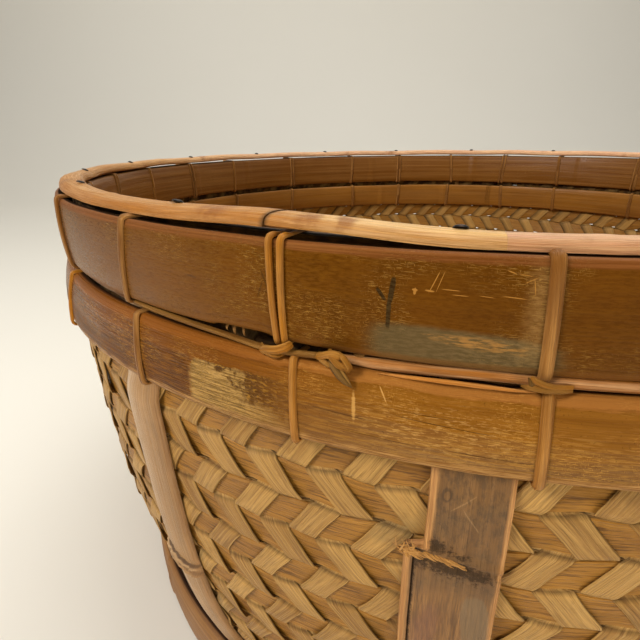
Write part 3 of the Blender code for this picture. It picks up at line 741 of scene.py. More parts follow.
def stave_finish(settings):
    """Staves: smooth grey tan where they are sound, brown and mouldy where they are weathered."""
    finish = Finish("stave_bamboo")
    tone, age, dirt = finish.carried("tone", "age", "dirt")
    down, across = finish.sides
    grain, fine = finish.grain(0.022, 0.00034, tone), finish.grain(0.006, 0.00016, 7.0)
    oldest, first = age.fade(0.9, 0.98), age.fade(0.08, 0.12, 1.0, 0.0)
    painted_sheen = (across.fade(0.0030, -0.0060) * age.fade(0.0, 0.3, 0.5, 0.0)
             * finish.cloud(60.0, 3.0).fade(0.35, 0.65, 0.5, 1.0))
    fibrous = finish.mix(oldest, (0.22, 0.22, 0.22, 1.0), down.fade(0.074, 0.082, 0.20, 0.55))
    dots, field = finish.cloud(620.0, 6.0, 0.75).fade(0.50, 0.62), finish.cloud(85.0, 5.0, 0.65).fade(0.42, 0.62)
    below = oldest * down.fade(0.086, 0.096, 0.0, 1.0)
    ragged = (finish.cloud(900.0, 6.0, 0.8) - 0.5) * age.fade(0.0, 0.5, 0.5, 2.6)
    shade_and_mould = (dirt + ragged).fade(0.30, 0.85) * dirt.fade(0.05, 0.3)

    def old_mark(*row):
        return finish.mark(*row) * oldest

    finish.colour = finish.mix(age, settings.sound_colour, settings.weathered_colour)
    finish.coat(
        # Painted shade along its right-hand side, and a painted sheen on the left-hand side of a sound one
        (across.fade(0.0040, 0.0090) * age.fade(0.0, 0.5, 0.22, 0.0), "#6b4a2a"),
        (finish.cloud(45.0, 4.0, 0.6).fade(0.40, 0.62) * age.fade(0, 1, 0.25, 0.6), settings.cloud_colour),
        (painted_sheen * down.fade(0.05, 0.13, 1.0, 0.25), "#d9c5aa"),
        # The oldest one is worn smooth above its node and fibrous below
        (grain.fibre * fibrous, "#553517"), (grain.streak * age.fade(0, 1, 0.20, 0.16), "#bb884e"),
        (dots * field * age * down.fade(0.084, 0.094, 1.0, 0.25) * 0.55, "#33200e"), (field * age * 0.30, "#634a28"),
        # A dark ring and two grazes above its node, then grime streaked along its upper part
        (finish.math("SUBTRACT", old_mark(0.0570, -0.0052, 1.7, 1.3, 10, 0.12),
                     old_mark(0.0571, -0.0051, 1.1, 0.7, 10), clamp=True) * 0.6, "#3b2611"),
        ((old_mark(0.0585, -0.0012, 3.5, 0.2, 50) | old_mark(0.0630, 0.0010, 4.0, 0.18, -35)) * 0.28, "#bf9560"),
        (finish.drawn(finish.map, 240.0, 520.0, 6.0, 0.7).fade(0.46, 0.60)
         * (oldest * down.fade(0.070, 0.078, 0.55, 0.0)), "#4d371c"),
        # Its frayed lower part, with a rusty place and a smooth grey one
        (below * (grain.streak * 0.22), "#b07c47"), (below * (fine.streak * 0.42), "#c88d48"),
        (below * (fine.fibre * 0.58), "#4b2b0e"),
        (old_mark(0.106, -0.0040, 10.0, 2.2, 5, 0.25, 0.5) * 0.40, "#6b3f33"),
        (old_mark(0.1035, 0.0062, 14.5, 3.4, -6, 0.04, 0.06, 3.0) * 0.70, "#7a6141"),
        (finish.edges(-0.0100, 0.0114, 0.0026, 0.05).both * age.fade(0, 1, 0.15, 0.8),
         finish.mix(grain.fibre, "#dda05c", "#a86f34")),
        # The node of the first one: its pale ridge, a dark crease above it that is a painted shadow under the upper
        # internode's edge, and a crease below
        *((finish.mark(crease, 0.0003, thick, 13.0, 20.0, 0.04, 0.5, 4.0) * first * strength, code)
          for crease, thick, strength, code in ((0.1331, 1.3, 0.40, "#d2aa79"), (0.1313, 0.5, 0.85, "#4a2f18"),
                                                (0.1356, 0.4, 0.60, "#6a4626"))),
        # Painted shade in the creases of the nodes and the gap of the sprung split, with the mould below its node
        (shade_and_mould * 0.82, "#2d1c05"))
    return finish.done(grain.streak + grain.fibre * -0.8 + shade_and_mould * -1.0, 0.00018,
                       Roughness=age.fade(0, 1, 0.36, 0.58) + shade_and_mould * 0.35)


def rim_finish(settings):
    """The rim cane: straw yellow with fine grain, brown mottles, and a pinker end past the splice."""
    finish = Finish("rim_cane")
    tone, ends = finish.carried("tone", "dirt")
    grain, mottle = finish.grain(0.016, 0.00026, 3.0), finish.cloud(95.0, 5.0, 0.65)
    along, across = finish.sides
    pale = finish.past(-118.0, -112.0) * along.fade(0.45, 0.75, 1.0, 0.0)
    marks = most(finish.mark(arc(azimuth), 0.002, long, 6.0, 0.0, ragged, 0.5, 3.0) for azimuth, long, ragged in (
        (-112.95, 2.4, 0.1), (-115.1, 2.8, 0.35), (237.9, 4.8, 0.35), (210.0, 4.0, 0.35), (-60.0, 5.0, 0.35),
        (20.0, 4.0, 0.35), (95.0, 5.0, 0.35), (150.0, 4.0, 0.35)))
    finish.colour = finish.mix(pale, settings.straw_colour, settings.straw_pale)
    finish.coat((tone.fade(0, 1), settings.pink_colour),
                (grain.streak * pale.fade(0, 1, 0.30, 0.55), settings.straw_light),
                (grain.fibre.fade(0.35, 1) * 0.45, "#7d4a18"),
                (mottle.fade(0.56, 0.68) * 0.30, settings.mottle_colour),
                # Its outer lower side is browner
                ((across + mottle * 0.002).fade(0.0050, 0.0076) * 0.55, "#a2642a"), (ends, "#3a210d"),
                (marks * finish.cloud(260.0, 4.0).fade(0.34, 0.54) * 0.8, settings.mottle_colour))
    return finish.done(grain.streak + grain.fibre * -0.9, 0.00014, Roughness=grain.fibre.fade(0, 1, 0.30, 0.44),
                       Specular_IOR_Level=0.35, Specular_Tint="#f0c890")


def cane_finish(name, base, dark, light):
    """Split cane of the lashings and the binder: glossy skin, long fibres, darker where its tone is low, from its own
    tone and from painted shade.
    """
    finish = Finish(name)
    grain = finish.grain(0.012, 0.00030)
    finish.colour = finish.mix(finish.carried("tone")[0].fade(-1, 1), dark, base)
    finish.coat((grain.streak * 0.5, light), (grain.fibre * 0.35, dark), (grain.blotch * 0.35, dark))
    return finish.done(grain.streak + grain.fibre * -0.6, 0.00014, Roughness=grain.fibre.fade(0, 1, 0.28, 0.42),
                       Specular_IOR_Level=0.4, Specular_Tint="#e6b070")


def iron_finish(settings):
    """Nail heads: dark iron with a worn crown and a little rust."""
    finish = Finish("nail_iron")
    rust = finish.cloud(900.0, 4.0).fade(0.45, 0.65)
    finish.colour = finish.mix(rust, settings.iron_colour, "#3d2a1d")
    return finish.done(finish.cloud(1400.0, 3.0), 0.0001, Roughness=rust.fade(0, 1, 0.35, 0.6),
                       Metallic=rust.fade(0, 1, 0.85, 0.25))


# ---- The weave ------------------------------------------------------------------------------

def band_number(depth):
    """How many bands of the weave lie between the first one and a depth."""
    return (np.asarray(depth, float) - FIRST_BAND) / BAND


def zigzag(azimuth, depth):
    """How far down a level line is pushed: each strand is cut off nearly square where it dives."""
    number = band_number(depth)
    edge = np.floor(number)
    weight = 1 - 2 * np.abs(number - edge - 0.5)
    centre = FIRST_CROSSING + RISING_SHIFT * (edge + 0.5)
    t = ((azimuth - centre) / STRAND_STEP + 0.5) % 1.0 - 0.5
    tooth = np.where(np.abs(t) <= 0.25, 4 * t, np.sign(t) * (2 - 4 * np.abs(t)))
    return ZIGZAG * tooth * weight


def stave_places():
    """Azimuths of the twelve staves, in three a set."""
    return [FIRST_STAVE + 90 * quarter + STAVE_ANGLE * side for quarter in range(4) for side in (-1, 0, 1)]


def pressed(azimuth, depth):
    """1 where the weave is free to bulge, and near 0 under the hoops and staves."""
    free = smooth(0.0500, 0.0545, depth) * (1 - smooth(0.1960, 0.2010, depth))
    for stave in stave_places():
        free = free * smooth(2.5, 3.3, np.abs(around_turn(azimuth, stave)))
    return free


def strand_stations(first, last):
    """Depths of a strand's stations, close together where it dives."""
    low, high = math.floor(band_number(first)), math.ceil(band_number(last))
    depths = [FIRST_BAND + (n + part) * BAND for n in range(low, high + 1)
              for part in (-0.5, -0.42, -0.3, -0.1, 0.12, 0.3, 0.4, 0.46)]
    depths = np.array([first] + [d for d in depths if first + 0.001 < d < last - 0.001] + [last])
    count = even(len(depths))
    return np.interp(np.linspace(0, 1, count), np.linspace(0, 1, len(depths)), depths)


def strand(name, rising, start, settings, seed, onto, first, last):
    """One slanting strand: over the level ones in every other band, and under them in the rest."""
    rng = np.random.default_rng(seed)
    depth = strand_stations(first, last)
    number = band_number(depth)
    shift = RISING_SHIFT if rising else FALLING_SHIFT
    width = settings.splint_width
    tilt = math.atan2(arc(abs(shift)), BAND)
    half = math.degrees(width / 2 / math.cos(tilt) / ARC_RADIUS) * rng.uniform(0.96, 1.05)
    section = flat_splint(1.0, settings.thickness, 0.00022, 0.93)
    t, high = section.T
    bands = np.arange(math.floor(number[0]) - 1, math.ceil(number[-1]) + 2)
    lift, twist = (np.interp(number, bands, rng.uniform(-1.0, 1.0, len(bands)))[:, None] for _ in range(2))
    breadth = half * (1 + 0.05 * drift(depth, seed + 2, 0.03))
    # The lower tip of a leaf is rounded, and stands off a little where it meets its neighbour
    part = (number - np.rint(number))[:, None]
    near = np.clip(-t if rising else t, 0, 1)
    middle = (start + shift * number + 0.10 * drift(depth, seed + 1, 0.09))[:, None]
    azimuth = middle + t * breadth[:, None] * (1 - 0.30 * near * smooth(0.33, 0.5, part))
    side = (np.tanh(5.0 * np.cos(math.pi * number)) * (1 if rising else -1))[:, None]
    along_leaf = 2 * np.abs(part)
    level = depth[:, None] + zigzag(azimuth, depth[:, None])
    free = pressed(azimuth, level) if onto is on_wall else 0.0
    bulge = settings.bulge * (1 - along_leaf ** 3) * (0.75 + 0.45 * lift)
    outside, inside = np.clip(side, 0, 1), np.clip(-side, 0, 1)
    tip = smooth(-0.35, 0.36, part) * (1 - smooth(0.42, 0.5, part)) * near
    lifted = settings.tip_lift * (0.5 if rising else 1.0) * (1 + 0.6 * lift) * tip * outside
    off = (-WALL_THICK / 2 + side * settings.step + lifted * free + outside * bulge * free - 0.5 * inside * bulge
           + 0.00022 * twist * t * free + high)
    leaf_tones = rng.uniform(-1, 1, len(bands))[np.clip(np.rint(number - bands[0]).astype(int), 0, len(bands) - 1)]
    tone = 0.55 * rng.uniform(-1, 1) + 0.7 * leaf_tones
    # Painted shade: darker where a leaf dives under its neighbours, and a little along its edges
    dirt = np.clip(0.6 * smooth(0.92, 1.0, along_leaf) + 0.15 * np.abs(t) ** 6, 0, 1)
    # Painted shade over the weave in the dark gap behind the hoops
    if onto is on_wall:
        dirt = np.maximum(dirt, (1 - smooth(0.0490, 0.0520, depth))[:, None])
    # The cut edge on the right-hand side of each leaf is painted dark: a painted shadow beside the lifted leaf
    dirt[:, 4:6] = np.maximum(dirt[:, 4:6], 0.9)
    repeat, apart = SLANTING_START
    return strip(name, onto(azimuth, level, off), girth(section * [width / 2, 1], -width / 2),
                 depth + seed % repeat * apart, tone, dirt=dirt)


def level_strand(name, number, settings, seed, onto, first, last):
    """One level strand: it keeps to the middle of the weave."""
    rng = np.random.default_rng(seed)
    azimuth = np.linspace(first, last, even(int(round((last - first) / LEVEL_STEP)) + 1))[:, None]
    section = flat_splint(1.0, settings.thickness, 0.0001, 0.95)
    t, high = section.T
    depth, width = FIRST_BAND + number * BAND, settings.level_width
    across = depth + t * width / 2 * rng.uniform(0.97, 1.03) + 0.00025 * ring_drift(azimuth, seed, 4)
    level = across + zigzag(azimuth, across)
    off = -WALL_THICK / 2 + high + 0.00012 * ring_drift(azimuth, seed + 1, 9)
    repeat, apart = LEVEL_START
    tone = 0.5 * rng.uniform(-1, 1) + 0.5 * ring_drift(azimuth[:, 0], seed + 2, 11)
    # Those behind the hoops are painted dark, as painted shade, and the others get a little painted shade along their
    # edges
    dirt = 1.0 if depth < 0.045 and onto is on_wall else np.broadcast_to(0.12 * np.abs(t) ** 10, level.shape)
    return strip(name, onto(azimuth, level, off), girth(section * [width / 2, 1], -width / 2),
                 arc(azimuth[:, 0]) + seed % repeat * apart, tone, dirt=dirt)


def woven(name, parts, material):
    """A piece of the weave, which stands in for the woven body with the rest of it."""
    piece(name, parts, material, "splint", "woven_body", angle=WOVEN_ANGLE)


# ---- Settings -------------------------------------------------------------------------------

def hue(name, description, code):
    return bpy.props.FloatVectorProperty(name=name, description=description, default=chart(code), size=4,
                                         subtype="COLOR", min=0.0, max=1.0)


def length(name, description, default):
    return bpy.props.FloatProperty(name=name, description=description, default=default, unit="LENGTH",
                                   min=0.00001, precision=5)


def power(name, description, default):
    return bpy.props.FloatProperty(name=name, description=description, default=default, min=0.0, unit="POWER")


class BASKET_PG_weave(bpy.types.PropertyGroup):
    splint_width: length("Splint width", "Width of the slanting splints", 0.0081)
    level_width: length("Level width", "Width of the level splints", 0.0112)
    thickness: length("Thickness", "Thickness of a splint", 0.0007)
    step: length("Step", "How far a splint lies above or below the level ones", 0.00072)
    bulge: length("Bulge", "How far a splint bows out where it passes over", 0.00045)
    tip_lift: length("Tip lift", "How far the tips of the leaves stand off", 0.0010)
    rising_colour: hue("Rising colour", "Splints that rise to the right", "#ad7c37")
    falling_colour: hue("Falling colour", "Splints that fall to the right", "#a77633")
    level_colour: hue("Level colour", "Level splints", "#9a651e")
    level_light: hue("Light level colour", "Palest streaks in the level splints", "#ba8232")
    level_dark: hue("Dark level colour", "Darkest parts of the level splints", "#704510")
    light_colour: hue("Light colour", "Palest splints", "#cd9f56")
    dark_colour: hue("Dark colour", "Darkest splints", "#805520")
    grain_colour: hue("Grain colour", "Fibres in the splints", "#573715")
    mould_colour: hue("Mould colour", "Grey mould on the splints", "#776a46")
    # Painted shade in the crevices of the weave
    dirt_colour: hue("Dirt colour", "Dirt in the crevices of the weave", "#2c1807")


class BASKET_PG_hoops(bpy.types.PropertyGroup):
    lacquer_colour: hue("Lacquer colour", "Upper hoop", "#633706")
    lacquer_dark: hue("Dark lacquer", "Darker clouds in the upper hoop's lacquer", "#502b05")
    lacquer_light: hue("Light lacquer", "Paler streaks in the upper hoop's lacquer", "#815311")
    dust_colour: hue("Dust colour", "Dusty left part of the upper hoop", "#70481c")
    scratch_colour: hue("Scratch colour", "Pale scratches", "#b6883e")
    lip_colour: hue("Lip colour", "Worn top edge of the upper hoop", "#855028")
    skin_colour: hue("Skin colour", "Lower hoop near its top edge", "#7c4b12")
    skin_dark: hue("Dark skin", "Darker clouds in the lower hoop", "#543212")
    edge_colour: hue("Edge colour", "Top edge of the lower hoop", "#a96d32")
    bare_colour: hue("Bare colour", "Lower hoop where its skin is worn off", "#866139")
    inner_dark: hue("Inner dark", "Hoops inside the mouth", "#6d3f0f")
    inner_light: hue("Inner light", "Paler stretches of the inner hoops", "#a06823")


class BASKET_PG_canes(bpy.types.PropertyGroup):
    straw_colour: hue("Straw", "Rim cane", "#b8782a")
    straw_pale: hue("Pale straw", "Rim cane where it is least handled", "#e9b870")
    straw_light: hue("Light straw", "Paler grain of the rim cane", "#f0ca94")
    pink_colour: hue("Pink cane", "Rim cane past the splice", "#daa27c")
    mottle_colour: hue("Mottle", "Brown mottles of the rim cane", "#8e5423")
    lashing_colour: hue("Lashing", "Lashing cane", "#b47015")
    lashing_dark: hue("Dark lashing", "Darker lashing cane", "#6b421e")
    binder_colour: hue("Binder", "Thick cane in the groove between the hoops", "#b6702c")
    iron_colour: hue("Iron", "Nail heads", "#1d1a18")


class BASKET_PG_staves(bpy.types.PropertyGroup):
    sound_colour: hue("Sound stave", "Smooth grey tan staves", "#b98e5d")
    weathered_colour: hue("Weathered stave", "Brown grey staves", "#7a5324")
    cloud_colour: hue("Clouds", "Darker clouds in the staves", "#664522")
    node_rise: length("Node rise", "Height of the ridge at a node", 0.0010)


class BASKET_PG_stage(bpy.types.PropertyGroup):
    floor_colour: hue("Floor", "Floor and backdrop", "#e0dacc")
    sky_colour: hue("Surroundings", "Light from all round", "#fbf9f5")
    key_power: power("Key light", "Power of the light at the left", 21.8)
    top_power: power("Top light", "Power of the light overhead", 12.5)
    backdrop_power: power("Backdrop light", "Power of the light on the backdrop", 29.0)
    fill_power: power("Fill light", "Power of the light from the front", 11.0)


# ---- Operators ------------------------------------------------------------------------------

class BASKET_OT_weave_wall(bpy.types.Operator):
    """Weave the wall: two families of slanting splints and the level ones between them"""
    bl_idname = "basket.weave_wall"
    bl_label = "Weave the wall"

    def execute(self, context):
        settings = context.scene.basket_weave
        families = (("rising_splints", True, "splint_rising", settings.rising_colour),
                    ("falling_splints", False, "splint_falling", settings.falling_colour))
        for index, (name, rising, finish, colour) in enumerate(families):
            material = splint_finish(finish, settings.light_colour, colour, settings.dark_colour, settings)
            woven(name, [strand(name, rising, FIRST_CROSSING + i * STRAND_STEP, settings, 1000 * (index + 1) + 7 * i,
                                on_wall, 0.0025, FLAT_DEPTH + 0.0015) for i in range(STRANDS)], material)
        parts = []
        for number in range(-4, 14):
            seam = FIRST_CROSSING + 37 * number % 360
            # The one between the hoops is broken in three places, and lets light through
            spans = [(seam, seam + 360)] if number != -2 else [(61.7, 65.7), (66.7, 75.7), (76.7, 420.7)]
            parts += [level_strand("level_splints", number, settings, 3000 + 11 * number, on_wall, *span)
                      for span in spans]
        woven("level_splints", parts, splint_finish("splint_level", settings.level_light, settings.level_colour,
                                                    settings.level_dark, settings, 0.75))
        return {"FINISHED"}


class BASKET_OT_weave_base(bpy.types.Operator):
    """Weave the flat base, and the course that hides its edge"""
    bl_idname = "basket.weave_base"
    bl_label = "Weave the base"

    def execute(self, context):
        settings = context.scene.basket_weave
        reach = BASE_RADIUS - 0.001
        across = float(arc(1.0))
        material = splint_finish("splint_base", settings.light_colour, settings.rising_colour, settings.dark_colour,
                                 settings)
        for index, (name, rising) in enumerate((("base_rising_splints", True), ("base_falling_splints", False))):
            shift = (RISING_SHIFT if rising else FALLING_SHIFT) * across / BAND
            parts = []
            for i in range(-24, 25):
                # Where the strand's middle line, x = x0 + shift * (depth - FIRST_BAND), meets the base's edge
                x0 = i * STRAND_STEP * across - shift * FIRST_BAND
                a, b, c = 1 + shift ** 2, 2 * shift * x0, x0 ** 2 - (reach - 0.003) ** 2
                inside = b * b - 4 * a * c
                if inside <= 0:
                    continue
                first, last = ((-b + sign * math.sqrt(inside)) / (2 * a) for sign in (-1, 1))
                if last - first > 0.03:
                    parts.append(strand(name, rising, i * STRAND_STEP, settings, 5000 + 1000 * index + 7 * i, on_base,
                                        first, last))
            woven(name, parts, material)
        parts = []
        for number in range(-18, 11):
            depth = abs(FIRST_BAND + number * BAND)
            if depth <= reach - 0.006:
                half = math.sqrt((reach - 0.001) ** 2 - (depth + 0.0045) ** 2) / across
                parts.append(level_strand("base_level_splints", number, settings, 7000 + 11 * number, on_base,
                                          -half, half))
        woven("base_level_splints", parts, material)
        parts = []
        for seed, (radius, z, width, thick) in enumerate(((0.1752, BASE_Z + WALL_THICK + 0.0004, 0.0052, 0.0008),
                                                         (0.1800, BASE_Z + WALL_THICK + 0.0005, 0.0052, 0.0008),
                                                         (0.1764, BASE_Z - 0.00004, 0.0110, 0.0003))):
            azimuth = np.linspace(20.0 * seed, 20.0 * seed + 362, 361)
            path = ring_points(radius + 0.0004 * ring_drift(azimuth, 61 + seed, 5), azimuth,
                               z + 0.0001 * ring_drift(azimuth, 71 + seed, 8))
            facing = np.broadcast_to([0.0, 0.0, 1.0], path.shape)
            parts.append(sweep("base_edge_course", path, facing, flat_splint(width / 2, thick, 0.0001),
                               tone=0.4 * seed - 0.3))
        woven("base_edge_course", parts, material)
        return {"FINISHED"}


def hoop_line(low, high, off):
    """The two ends of a hoop's height, against the wall: (radius, height)."""
    return tuple((float(wall_radius(z)) + off, z) for z in (low, high))


def hoop_section(line, thick, lip):
    """Corners of a hoop's section as (height, radius), from its low outer edge up, over and down inside."""
    (r_low, z_low), (r_high, z_high) = line
    thick_low, thick_mid, thick_high = thick
    tall = z_high - z_low
    outside = []
    for part, ease in ((0.0, -lip), (0.022, -0.28 * lip), (0.075, 0.0), (0.25, 0.0), (0.5, 0.0), (0.75, 0.0),
                       (0.925, 0.0), (0.978, -0.28 * lip), (1.0, -lip)):
        seat = r_low + (r_high - r_low) * part
        flat = thick_low + (thick_high - thick_low) * part
        swell = (thick_mid - (thick_low + thick_high) / 2) * (1 - (2 * part - 1) ** 2)
        outside.append((z_low + tall * part, seat + flat + swell + ease))
    inside = [(z_high - tall * part, r_high + (r_low - r_high) * part + nudge)
              for part, nudge in ((0.0, 0.0003), (0.03, 0.0), (0.5, 0.0), (0.97, 0.0), (1.0, 0.0003))]
    return np.array(outside + inside)


def hoop(name, section, seed, first, stations, edge_play, radius_play, tone=0.0, nodes=(), reshape=None):
    """A hoop bent from one strip, its ends lapped, with the play of hand-split bamboo."""
    last = first + 361.5
    azimuth = np.linspace(first, last, stations)[:, None]
    height, radius = section.T
    middle = (height.max() + height.min()) / 2
    reach = (height - middle) / (height.max() - middle)
    play = (np.clip(reach, 0, 1) * ring_drift(azimuth, seed, 4)
            + np.clip(-reach, 0, 1) * ring_drift(azimuth, seed + 1, 5))
    z = height + edge_play * play
    outer = radius > (radius.max() + radius.min()) / 2
    r = radius + radius_play * ring_drift(azimuth, seed + 2, 7) * outer
    for place, rise in nodes:
        ridge, groove = bell(around_turn(azimuth, place), 0.35), bell(around_turn(azimuth, place + 0.8), 0.3)
        r = r + rise * (ridge - 0.6 * groove) * outer
    lap = smooth(0, 0.7, azimuth - first) * smooth(0, 0.7, last - azimuth)
    r = r - 0.0006 * (1 - lap) * outer
    if reshape:
        z = reshape(azimuth, z, reach)
    around = girth(section, height[0])
    around[:9] = height[:9]
    # The faces against the wall carry painted shade
    painted_inner_shade = np.broadcast_to([0.0] * 9 + [1.0] * 5, z.shape)
    return strip(name, ring_points(r, azimuth, z), around, arc(azimuth[:, 0]), tone, dirt=painted_inner_shade)


def ragged_bottom(azimuth, z, reach):
    """The upper hoop's low edge is split away in places, most at the left."""
    bite = 0.0009 * smooth(-122.6, -121.4, azimuth) * (1 - smooth(-118.0, -117.2, azimuth))
    return z + bite * np.clip(-reach - 0.55, 0, 1) / 0.45


def wavy_top(azimuth, z, reach):
    """The lower hoop's top edge has lifted and gone wavy at the right."""
    near = smooth(-109.6, -107.6, azimuth) * (1 - smooth(-103.4, -102.2, azimuth))
    wave = 0.0005 + 0.0004 * np.sin(np.radians((azimuth + 108) * 92))
    return z - 0.6 * near * wave * np.clip(reach - 0.55, 0, 1) / 0.45


def raise_nodes(ring, nodes):
    """Raises the ridges at the nodes of an inner hoop, towards the middle of the basket."""
    co = read(ring.data.vertices, "co", 3, float)
    azimuth = np.degrees(np.arctan2(co[:, 1], co[:, 0]))
    radius = np.hypot(co[:, 0], co[:, 1])
    inner = radius < wall_radius(co[:, 2]) - WALL_THICK - 0.0022
    rise = sum(0.0007 * bell(away, 0.5) - 0.0003 * bell(away - 1.1, 0.5)
               for away in (around_turn(azimuth, node) for node in nodes))
    co[:, :2] *= (1 - rise * inner / radius)[:, None]
    ring.data.vertices.foreach_set("co", co.ravel())
    ring.data.update()


class BASKET_OT_hoops(bpy.types.Operator):
    """Bend the two pairs of hoops at the mouth"""
    bl_idname = "basket.hoops"
    bl_label = "Mouth hoops"

    def execute(self, context):
        settings = context.scene.basket_hoops
        for name, node, low, high, thick, lip, play, reshape, finish in (
                ("upper_hoop", "outer_upper_hoop", UPPER_BOTTOM, HOOP_TOP, (0.0030, 0.0038, 0.0030), 0.0009,
                 (11, -298.0, 721, 0.0003, 0.00018), ragged_bottom, upper_hoop_finish),
                ("lower_hoop", "outer_lower_hoop", LOWER_BOTTOM, LOWER_TOP, (0.0034, 0.0046, 0.0036), 0.0011,
                 (23, -282.0, 721, 0.0004, 0.00022), wavy_top, lower_hoop_finish)):
            section = hoop_section(hoop_line(low, high, SEAT), thick, lip)
            piece(name, [hoop(name, section, *play, reshape=reshape)], finish(settings), "hoop_bamboo", node)
        material = inner_hoop_finish(settings)
        for index, (node, low, high, tone) in enumerate((("inner_upper_hoop", UPPER_BOTTOM, HOOP_TOP, -0.5),
                                                         ("inner_lower_hoop", LOWER_BOTTOM, LOWER_TOP, 0.6))):
            name = node + "_bamboo"
            section = hoop_section(hoop_line(low, high, INNER_SEAT),
                                   (-INNER_THICK, -INNER_THICK - INNER_CROWN, -INNER_THICK),
                                   -0.0009)
            nodes = np.random.default_rng(90 + index).uniform(0, 24, 12) + 30 * np.arange(12)
            ring = hoop(name, section, 31 + 7 * index, 20.0 + 47 * index, 721, 0.0003, 0.0002, tone)
            raise_nodes(ring, nodes)
            piece(name, [ring], material, "inner_bamboo", node)
        return {"FINISHED"}


class BASKET_OT_foot(bpy.types.Operator):
    """Bend the hoop that the basket stands on"""
    bl_idname = "basket.foot"
    bl_label = "Foot hoop"

    def execute(self, context):
        low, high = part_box("foot_hoop")
        outer = high.x - 0.0012
        section = hoop_section(((outer - 0.0044, low.z), (outer - 0.0038, high.z - 0.0032)),
                               (0.0038, 0.0050, 0.0038), 0.0010)
        ring = hoop("foot_ring", section, 43, 75.0, 601, 0.0002, 0.0002, 0.9,
                    [(-150 + 41 * i, 0.0006) for i in range(9)])
        # Nothing of the foot goes below the floor
        for vert in ring.data.vertices:
            vert.co.z = max(vert.co.z, 0.0)
        piece("foot_ring", [ring], inner_hoop_finish(context.scene.basket_hoops), "hoop_bamboo", "foot_hoop")
        return {"FINISHED"}


def stave_path(azimuth, other, drop, nodes):
    """Path and outward direction of one split: down the wall, under the base and up the other side."""
    depth = list(np.arange(0.0020, FLAT_DEPTH, 0.0032))
    for node in nodes:
        depth += list(node + np.arange(-0.0048, 0.0064, 0.0006))
    depth = np.array(sorted(set(round(d, 5) for d in depth if d < FLAT_DEPTH - 0.001)) + [FLAT_DEPTH])
    depth = depth[np.concatenate([[True], np.diff(depth) > 0.00035])]
    off = GAP + drop * smooth(DEPTH_ZERO - CORNER_HEIGHT, FLAT_DEPTH, depth)
    sides, facings, ends = [], [], []
    bend = BASE_RADIUS - STAVE_WIDTH * math.tan(math.radians(STAVE_ANGLE / 2))
    for turn in (azimuth, other):
        sides.append(on_wall(turn, depth, off))
        facings.append(on_wall(turn, depth, off + 0.001) - sides[-1])
        ends.append(ring_points(bend, turn, BASE_Z - GAP - drop))
    flat = ends[0] + (ends[1] - ends[0]) * np.linspace(0, 1, 25)[:, None]
    down = np.broadcast_to([0.0, 0.0, -0.001], flat.shape)
    return np.vstack([sides[0], flat, sides[1][::-1]]), np.vstack([facings[0], down, facings[1][::-1]])


STAVE_FACE = [(-1.0, 0.55), (-0.97, 0.80), (-0.76, 0.94), (-0.74, 0.95), (-0.72, 0.955), (-0.68, 0.96), (-0.4, 0.99),
              (0.0, 1.0), (0.4, 0.99), (0.74, 0.96), (0.80, 0.95), (0.86, 0.92), (0.97, 0.80), (1.0, 0.55)]
STAVE_BACK = [(0.985, 0.0), (0.4, 0.0), (-0.4, 0.0), (-0.985, 0.0)]


